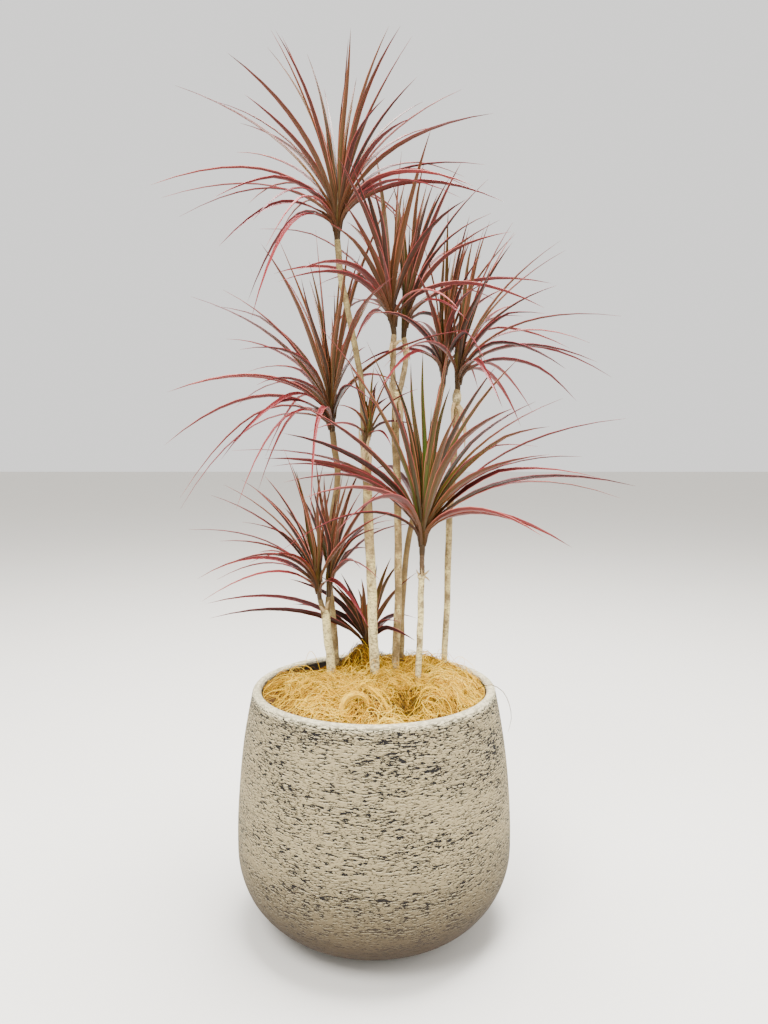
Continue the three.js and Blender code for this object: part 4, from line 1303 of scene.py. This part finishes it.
def leaf_to(head, tip, bend_scale):
    """A leaf from its head to its tip, by the rule of the solids."""
    to_tip = tip - np.array(head["base"], dtype=float)
    tip_rise = math.degrees(math.atan2(to_tip[2], math.hypot(to_tip[0], to_tip[1])))
    age = within((STEEPEST - tip_rise) / AGE_SPAN, 0, 1)
    share = LOWEST_ROOT + ROOT_SPAN * (1 - age)
    middle = crown_point(head, share)
    outward = np.array([tip[0] - middle[0], tip[1] - middle[1], 0])
    inset = (crown_radius(head, share) - ROOT_DEPTH) / math.hypot(outward[0], outward[1])
    root = middle + outward * inset
    chord = tip - root
    flat = math.hypot(chord[0], chord[1])
    length = math.hypot(flat, chord[2])
    rise = math.degrees(math.atan2(chord[2], flat))
    full_bend = LEAST_BEND + (STEEPEST - rise) * BEND_PER_DEGREE
    bend = bend_scale * within(full_bend, LEAST_BEND, MOST_BEND)
    start = math.radians(min(UPRIGHT, rise + bend))
    heading = chord[:2] / flat
    control = root + direction(heading, start) * length * CONTROL
    wanted = math.floor(MOST_PIECES - rise / RISE_PER_PIECE + 0.5)
    pieces = int(within(wanted, LEAST_PIECES, MOST_PIECES))
    return dict(head=head, root=root, control=control, tip=tip, heading=heading, age=age,
                pieces=pieces, length=length, seat=share)


def leaf_points(leaf, shares):
    """Points on a leaf's arch."""
    share = np.asarray(shares, dtype=float)[:, None]
    rest = 1 - share
    return rest * (rest * leaf["root"] + 2 * share * leaf["control"]) + share * share * leaf["tip"]


def outline(leaf):
    """The ends of a leaf's straight stretches in the solids, and its reach at each."""
    shares = np.arange(leaf["pieces"] + 1) / leaf["pieces"]
    reaches = np.maximum(KEEL, half_width(leaf["head"]["width"], shares))
    return leaf_points(leaf, shares), reaches


class Room:
    """What leaves have to pass clear of: canes, crowns and the leaves laid before."""

    def __init__(self):
        self.count = 0
        self.starts = np.zeros((MOST_CLAIMS, 3))
        self.ends = np.zeros((MOST_CLAIMS, 3))
        self.reach = np.zeros(MOST_CLAIMS)
        self.stem = np.zeros(MOST_CLAIMS, dtype=bool)
        self.order = np.zeros(MOST_CLAIMS, dtype=int)
        self.owner = np.zeros(MOST_CLAIMS, dtype="U8")

    def claim(self, points, reaches, owner, is_stem):
        """Takes the room along a line of points."""
        for i in range(len(points) - 1):
            n = self.count
            self.starts[n] = points[i]
            self.ends[n] = points[i + 1]
            self.reach[n] = max(reaches[i], reaches[i + 1])
            self.stem[n] = is_stem
            self.order[n] = i
            self.owner[n] = owner
            self.count += 1

    def gaps(self, p, q):
        """Least distances between the stretch p-q and every claimed one."""
        a, b = self.starts[:self.count], self.ends[:self.count]
        d1, d2, r = q - p, b - a, p - a
        a1 = d1 @ d1
        e = (d2 * d2).sum(axis=1)
        f = (d2 * r).sum(axis=1)
        c = r @ d1
        k = d2 @ d1
        spread = a1 * e - k * k
        s = np.where(spread > 1e-9, np.clip((k * f - c * e) / np.maximum(spread, 1e-9), 0, 1), 0)
        t = (k * s + f) / e
        s = np.where(t < 0, np.clip(-c / a1, 0, 1), np.where(t > 1, np.clip((k - c) / a1, 0, 1), s))
        t = np.clip(t, 0, 1)
        between = r + d1 * s[:, None] - d2 * t[:, None]
        return np.sqrt((between * between).sum(axis=1))

    def clear(self, leaf):
        """Whether a leaf passes clear of the mulch and of all that is claimed."""
        points, reaches = outline(leaf)
        for point in points[2:]:
            if point[2] < coir_top(point[0], point[1]) + COIR_CLEARANCE:
                return False
        n = self.count
        own = self.owner[:n] == leaf["head"]["name"]
        for i in range(len(points) - 1):
            reach = max(reaches[i], reaches[i + 1]) + CLEARANCE
            room = reach + self.reach[:n] - np.where(own, OWN_RELIEF, 0)
            spared = own & ((i < ROOT_FREE) | (~self.stem[:n] & (self.order[:n] < ROOT_FREE)))
            if np.any((self.gaps(points[i], points[i + 1]) < room) & ~spared):
                return False
        return True

    def first_clear(self, tries):
        """The first leaf that has room, in a list, or an empty list."""
        for leaf in tries:
            if self.clear(leaf):
                points, reaches = outline(leaf)
                self.claim(points, reaches, leaf["head"]["name"], False)
                return [leaf]
        return []


def tries_from(wished, step, count):
    """A wished value and others further and further to both sides of it."""
    tries = [wished]
    for i in range(1, count + 1):
        tries += [wished + step * i, wished - step * i]
    return tries


def listed_leaves(head, room):
    """Leaves to the tips that the head lists, each at a depth where it has room."""
    draw = drawing(head["seed"])
    leaves = []
    for i, (side, rise) in enumerate(head["tips"]):
        length = head["reach"] * (0.82 + 0.2 * draw())
        hidden = math.sqrt(max(0.0, length * length - side * side - rise * rise))
        depth = (-0.8 if i % 2 else 0.8) * hidden + 12 * (draw() - 0.5)
        bend_scale = 0.85 + 0.3 * draw()
        flat = np.array(head["base"], dtype=float) + np.array([side, 0, rise])
        sight = flat - np.array(EYE)
        tips = [flat + sight * (one / sight[1]) for one in tries_from(depth, 18, 9)]
        leaves += room.first_clear(leaf_to(head, tip, bend_scale) for tip in tips)
    return leaves


def turned_aside(azimuth):
    """A heading turned out of the open front, where a leaf would be seen end on."""
    off = ((azimuth - FRONT + 540) % 360) - 180
    missing = max(0.0, FRONT_OPEN - abs(off))
    return azimuth + (-missing if off < 0 else missing)


def grown_leaves(head, room):
    """Leaves that fill the head in, turned by the golden angle, the later ones older and lower."""
    draw = drawing(head["seed"] + 1)
    leaves = []
    for i in range(head["fill"]):
        age = (i + 0.5) / head["fill"]
        turn = i * GOLDEN_ANGLE + 20 * draw()
        azimuth = turned_aside(turn + SIDE_THINNING * math.sin(2 * math.radians(turn)))
        rise = YOUNG_RISE + (OLD_RISE - YOUNG_RISE) * age ** 1.15 + 10 * (draw() - 0.5)
        drawn_length = 0.55 + 0.1 * draw()
        length = head["reach"] * (drawn_length + 0.3 * math.sin(math.pi * (0.25 + 0.6 * age)))
        bend_scale = 0.85 + 0.3 * draw()
        tips = []
        for one in tries_from(azimuth, 7, 8):
            heading = (math.cos(math.radians(one)), math.sin(math.radians(one)))
            tips.append(crown_point(head, 0.5) + length * direction(heading, math.radians(rise)))
        leaves += room.first_clear(leaf_to(head, tip, bend_scale) for tip in tips)
    return leaves


def all_leaves():
    """Every leaf of every head, placed as in the solids."""
    room = Room()
    for name, stems in CANES.items():
        for radius, points in stems:
            carried = [h["name"] for h in HEADS if tuple(h["base"]) == tuple(points[-1])]
            reaches = [radius + STEM_ROOM] * len(points)
            room.claim(np.array(points, dtype=float), reaches, (carried or [name])[0], True)
    for head in HEADS:
        ends = [crown_point(head, 0), crown_point(head, 1)]
        room.claim(ends, [head["radius"] + STEM_ROOM, head["radius"]], head["name"], False)
    listed = [listed_leaves(head, room) for head in HEADS]
    grown = [grown_leaves(head, room) for head in HEADS]
    return [first + later for first, later in zip(listed, grown)]


def spears(head, rng):
    """Young leaves still rolled in the head's heart: short, narrow and steep."""
    young = []
    for i in range(SPEARS):
        turn = math.radians(360 / SPEARS * i + rng.uniform(-20, 20))
        rise = math.radians(rng.uniform(76, 86))
        length = head["reach"] * rng.uniform(0.34, 0.66)
        heading = (math.cos(turn), math.sin(turn))
        tip = crown_point(head, 0.5) + length * direction(heading, rise)
        leaf = leaf_to(head, tip, 1.0)
        leaf["slim"] = rng.uniform(0.5, 0.75)
        leaf["age"] = 0.0
        young.append(leaf)
    return young


class Blade(Pattern):
    """A blade, modelled once: a strap two faces wide with its rib between them, given a back; a
    leaf's copy is folded along the rib where it is laid.
    """

    def __init__(self, rows):
        put_down()
        bpy.ops.mesh.primitive_grid_add(x_subdivisions=2, y_subdivisions=rows, size=2)
        obj = new_piece("blade_pattern")
        solid = obj.modifiers.new("Back", "SOLIDIFY")
        solid.thickness = 1.0
        solid.offset = -1.0
        apply_modifiers(obj)
        super().__init__(obj)
        self.side = self.points[:, 0]  # -1 and 1 on the rims, 0 on the rib
        self.along = self.points[:, 1] * 0.5 + 0.5
        self.back = np.clip(-self.points[:, 2], 0, 1)


def blade_shares(rows):
    """Shares of the arch for rows of the pattern: the clasping base has those below FREE_FROM."""
    free = np.clip((rows - SHEATH) / (1 - SHEATH), 0, 1) ** 1.1
    return np.where(rows < SHEATH, FREE_FROM * rows / SHEATH, FREE_FROM + (1 - FREE_FROM) * free)


def blade_line(leaf, rows):
    """The blade's path: up the crown in a clasping base, then over along the leaf's arch."""
    head = leaf["head"]
    outward = np.array([*leaf["heading"], 0.0])
    low = max(0.0, leaf["seat"] - SHEATH_DROP)
    foot = crown_point(head, low) + outward * (crown_radius(head, low) - SHEATH_SINK)
    left, ahead = leaf_points(leaf, [FREE_FROM, FREE_FROM + 0.01])
    span = np.linalg.norm(left - foot)
    rise = np.array([0.0, 0.0, span])
    leave = unit(ahead - left) * span
    t = np.clip(rows / SHEATH, 0, 1)[:, None]
    clasp = ((2 * t - 3) * t * t + 1) * foot + ((t - 2) * t + 1) * t * rise
    clasp = clasp + (3 - 2 * t) * t * t * left + (t - 1) * t * t * leave
    return np.where(rows[:, None] < SHEATH, clasp, leaf_points(leaf, blade_shares(rows)))


def facing_roll(leaf, level):
    """The roll that would turn the blade's breadth square to the front."""
    start, end = leaf_points(leaf, [0.3, 0.6])
    up = np.cross(unit(end - start), level)
    turn = math.atan2(-level[1], up[1])
    return turn - math.copysign(math.pi, turn) if abs(turn) > math.pi / 2 else turn


def lay_blade(blade, leaf, thickness, rng):
    """One copy of the blade, laid along a leaf's arch, with its own twist and waver, in mm."""
    x, rows = blade.side, blade.along
    share = blade_shares(rows)
    free = np.clip((rows - SHEATH) * 5, 0, 1)
    limp = leaf["age"]
    places = blade_line(leaf, rows)
    level = np.array([-leaf["heading"][1], leaf["heading"][0], 0.0])
    bow = np.sin(math.pi * share) * free
    sway = rng.normal(0, 1.8) * bow + rng.normal(0, 1.6) * np.sin(2 * math.pi * share) * free
    places = places + level * sway[:, None]
    kink_at = rng.uniform(0.4, 0.75)
    kink = leaf["length"] * rng.uniform(0.02, 0.055) * (rng.random() < 0.28) * (limp > 0.3)
    places[:, 2] += kink * np.minimum(share / kink_at, (1 - share) / (1 - kink_at)) * free
    places[:, 2] += rng.normal(0, 1.4) * bow
    before, after = (blade_line(leaf, np.clip(rows + step, 0, 1)) for step in (-0.01, 0.01))
    ahead = unit(after - before)
    up = np.cross(ahead, level)
    roll = (rng.normal(0, 0.3 + 0.5 * limp) * share ** 1.3 + rng.normal(0, 0.2) * bow) * free
    twist = leaf["head"].get("twist", TWIST) * facing_roll(leaf, level)
    roll = roll + twist * np.clip(share * 4, 0, 1)
    side = level * np.cos(roll)[:, None] + up * np.sin(roll)[:, None]
    up = np.cross(ahead, side)
    width = leaf["head"]["width"] * leaf.get("slim", 1.0) * rng.uniform(0.86, 1.12)
    widened = 0.5 + 0.5 * np.clip(share / 0.32, 0, 1)
    half = (width / 2) * widened * (1 - share ** TAPER)
    clasping = 1 - np.clip((rows - 0.5 * SHEATH) / (1.6 * SHEATH), 0, 1)
    depth = KEEL * np.minimum(1, 3 * (1 - share)) + 1.3 * clasping
    drop = -depth * (1 - np.abs(x)) - blade.back * (thickness / MM - TIP_THINNING * share)
    lateral = x * half * (1 - 0.12 * clasping)
    return places + side * lateral[:, None] + up * drop[:, None]


class DRACAENA_OT_leaves(bpy.types.Operator):
    """Grow the heads of leaves on their crowns"""

    bl_idname = "dracaena.leaves"
    bl_label = "Leaves"

    def execute(self, context):
        settings = context.scene.dracaena_leaf
        blade = Blade(BLADE_ROWS)
        finish = leaf_skin(settings)
        across = blade.side * 0.5 + 0.5
        along = blade_shares(blade.along)
        foot = 0.8 * np.clip(1 - along / FREE_FROM, 0, 1)
        size = len(blade.points)
        for head, leaves in zip(HEADS, all_leaves()):
            rng = np.random.default_rng(head["seed"])
            leaves = leaves + spears(head, rng)
            count = len(leaves)
            laid = [lay_blade(blade, leaf, settings.thickness, rng) for leaf in leaves]
            obj = blade.laid(f"{head['name']}_leaves", np.array(laid) * MM, across, along)
            blade.crease(obj.data)
            ages = np.array([leaf["age"] for leaf in leaves])
            green = head["green"] * np.clip(1 - 1.9 * ages, 0, 1)
            put_values(
                obj.data, age=np.repeat(ages, size), green=np.repeat(green, size),
                tone=np.repeat(rng.random(count), size), under=np.tile(blade.back, count),
                foot=np.tile(foot, count))
            dress(obj, finish, "leaf", head["name"])
            self.crown(head, finish)
        return {"FINISHED"}

    def crown(self, head, finish):
        """The wrapped leaf bases that the blades stand out of."""
        shares = np.linspace(CROWN_FOOT, 1, CROWN_RINGS)
        line = np.array([crown_point(head, share) for share in shares])
        widths = np.array([crown_radius(head, max(0.0, share)) for share in shares])
        laps = 0.25 * (1 - (shares * LAPS) % 1) * (shares < 0.7)
        radii = np.maximum(0.15, widths * 0.94 + laps)
        obj = rod(f"{head['name']}_crown", line * MM, radii * MM)
        mesh = obj.data
        places = places_of(mesh)
        rise = (places[:, 2] / MM - head["base"][2]) / head["height"]
        even = np.ones(len(places))
        put_values(
            mesh, age=np.interp(rise, [0, 1], [0.3, 0.0]), green=head["green"] * 0.2 * even,
            tone=0.3 * even, under=0 * even, foot=np.interp(rise, [0.15, 0.5], [1.0, 0.0]))
        corners = np.array([loop.vertex_index for loop in mesh.loops])
        middle = np.array([crown_point(head, share) for share in rise[corners]]) * MM
        out = places[corners] - middle
        wrapped = (np.arctan2(out[:, 1], out[:, 0]) / (2 * math.pi) * 3 + rise[corners] * 2.2) % 1
        while mesh.uv_layers:
            mesh.uv_layers.remove(mesh.uv_layers[0])
        layer = mesh.uv_layers.new(name="UVMap")
        along = 0.25 + 0.1 * np.clip(rise[corners], 0, 1)
        pairs = np.stack([0.1 + 0.85 * wrapped, along], axis=1)
        layer.data.foreach_set("uv", pairs.astype(np.float32).ravel())
        dress(obj, finish, "leaf")


# Papery remains of dead leaves: root, middle and tip of each, and its width.
DRY = [
    ((111, 41, 678), (122, 36, 664), (120, 37, 619), 7),
    ((106, 41, 682), (102, 38, 668), (104, 39, 648), 5),
    ((63, -22, 461), (68, -24, 464), (71, -24, 468), 3),
    ((64, -22, 459), (69, -25, 457), (71, -25, 453), 2.6),
    ((58, -22, 461), (55, -24, 464), (54, -24, 469), 2.5),
    ((61, -23, 460), (61, -27, 465), (60, -27, 471), 2.5),
    ((-14, -5, 620), (-18, -8, 632), (-19, -8, 648), 5),
    ((-6, -6, 622), (-3, -10, 610), (-5, -10, 594), 5),
    ((-12, -7, 618), (-14, -10, 606), (-12, -10, 590), 5),
    ((-9, -7, 620), (-7, -11, 634), (-3, -12, 644), 4),
    ((26, 20, 686), (21, 16, 694), (20, 16, 710), 5),
    ((32, 22, 682), (38, 18, 672), (36, 18, 648), 5.5),
    ((28, 19, 684), (26, 14, 670), (28, 14, 646), 5),
    ((26, 19, 752), (32, 15, 762), (38, 15, 757), 5),
    ((24, 19, 758), (20, 14, 748), (21, 14, 736), 5),
    ((41, 38, 756), (46, 35, 748), (47, 35, 736), 4.5),
    ((-63, 5, 410), (-62, 1, 418), (-58, 1, 424), 4),
    ((-66, 4, 408), (-68, 1, 414), (-73, 1, 417), 4),
]
DRY_ROWS = 6
FACING = (0.12, -1.0, 0.25)  # the way that the dry remains lie open


class DRACAENA_OT_dry(bpy.types.Operator):
    """Leave dry sheaths and spikes on the knots and cut tops"""

    bl_idname = "dracaena.dry"
    bl_label = "Dry sheaths"

    def execute(self, context):
        rng = np.random.default_rng(17)
        strip = Blade(DRY_ROWS)
        x, along = strip.side, strip.along
        copies = []
        for *ends, width in DRY:
            arch = dict(zip(("root", "control", "tip"), np.array(ends, float)))
            steps = (-0.05, 0.05)
            before, after = (leaf_points(arch, np.clip(along + step, 0, 1)) for step in steps)
            ahead = unit(after - before)
            side = unit(np.cross(ahead, FACING))
            up = np.cross(side, ahead)
            ragged = 1 + 0.12 * np.sin(along * rng.uniform(9, 16) + x * 2 + rng.uniform(0, 6))
            half = width / 2 * (1 - along ** 2.5) * ragged
            cup = 0.9 * np.abs(x) ** 2 - 0.35 * strip.back
            offset = side * (x * half)[:, None] + up * cup[:, None]
            copies.append(leaf_points(arch, along) + offset)
        obj = strip.laid("dry_sheaths", np.array(copies) * MM, x * 0.5 + 0.5, along)
        dress(obj, dry_skin(), "cane")
        return {"FINISHED"}


# ---------------------------------------------------------------- stage

# Lamps: place, the point each is turned to, size and share of the key light's power.
LAMPS = {
    "key_light": ((-0.9, -1.5, 2.6), (0, 0, 0.5), 1.1, 1.0),
    "fill_light": ((2.0, -1.6, 1.6), (0, 0, 0.5), 1.8, 0.3),
    "top_light": ((0.2, 0.2, 2.9), (0, 0, 0.3), 1.4, 2.6),
}
AIR = (0.95, 0.94, 0.92)
AIR_LIGHT = 1.35
FLOOR_SIZE = 30
PITCH = 5.14  # degrees that the camera looks down
SENSOR = 36  # width of the camera's sensor, in mm


class DRACAENA_OT_stage(bpy.types.Operator):
    """Set the floor, the lamps and the camera"""

    bl_idname = "dracaena.stage"
    bl_label = "Stage"

    def execute(self, context):
        settings = context.scene.dracaena_stage
        put_down()
        bpy.ops.mesh.primitive_plane_add(size=FLOOR_SIZE)
        floor = new_piece("floor")
        floor.data.materials.append(ground_paint(settings))
        for name, (place, target, size, share) in LAMPS.items():
            bpy.ops.object.light_add(type="AREA", location=place)
            lamp = new_piece(name)
            lamp.data.size = size
            lamp.data.energy = settings.key * share
            aim = Vector(target) - Vector(place)
            lamp.rotation_euler = aim.to_track_quat("-Z", "Y").to_euler()
        world = bpy.data.worlds.new("Pale Room")
        world.use_nodes = True
        air = world.node_tree.nodes["Background"]
        air.inputs["Color"].default_value = (*AIR, 1)
        air.inputs["Strength"].default_value = AIR_LIGHT
        context.scene.world = world
        bpy.ops.object.camera_add(
            location=[v * MM for v in EYE], rotation=(math.radians(90 - PITCH), 0, 0))
        camera = new_piece("camera")
        camera.data.lens = settings.focal
        camera.data.sensor_width = SENSOR
        context.scene.camera = camera
        return {"FINISHED"}


# ---------------------------------------------------------------- the add-on


class DRACAENA_PT_panel(bpy.types.Panel):
    """Lists the pieces and their sizes and colours"""

    bl_label = "Potted Dracaena"
    bl_idname = "DRACAENA_PT_panel"
    bl_space_type = "VIEW_3D"
    bl_region_type = "UI"
    bl_category = "Dracaena"

    def draw(self, context):
        scene = context.scene
        groups = (
            ("dracaena.stage", scene.dracaena_stage),
            ("dracaena.pot", scene.dracaena_pot),
            ("dracaena.mulch", scene.dracaena_mulch),
            ("dracaena.canes", scene.dracaena_cane),
            ("dracaena.leaves", scene.dracaena_leaf),
            ("dracaena.dry", None),
        )
        for operator, settings in groups:
            box = self.layout.box()
            box.operator(operator)
            for name in getattr(settings, "__annotations__", ()):
                box.prop(settings, name)


SETTINGS = {
    "dracaena_pot": PotSettings,
    "dracaena_mulch": MulchSettings,
    "dracaena_cane": CaneSettings,
    "dracaena_leaf": LeafSettings,
    "dracaena_stage": StageSettings,
}
OPERATORS = (
    DRACAENA_OT_stage,
    DRACAENA_OT_pot,
    DRACAENA_OT_mulch,
    DRACAENA_OT_canes,
    DRACAENA_OT_leaves,
    DRACAENA_OT_dry,
)


def register():
    for cls in (*SETTINGS.values(), *OPERATORS, DRACAENA_PT_panel):
        bpy.utils.register_class(cls)
    for name, cls in SETTINGS.items():
        setattr(bpy.types.Scene, name, bpy.props.PointerProperty(type=cls))


def unregister():
    for name in SETTINGS:
        delattr(bpy.types.Scene, name)
    for cls in (DRACAENA_PT_panel, *reversed(OPERATORS), *reversed(SETTINGS.values())):
        bpy.utils.unregister_class(cls)


def main():
    register()
    bpy.ops.dracaena.stage()
    bpy.ops.dracaena.pot()
    bpy.ops.dracaena.mulch()
    bpy.ops.dracaena.canes()
    bpy.ops.dracaena.leaves()
    bpy.ops.dracaena.dry()


if __name__ == "__main__":
    main()
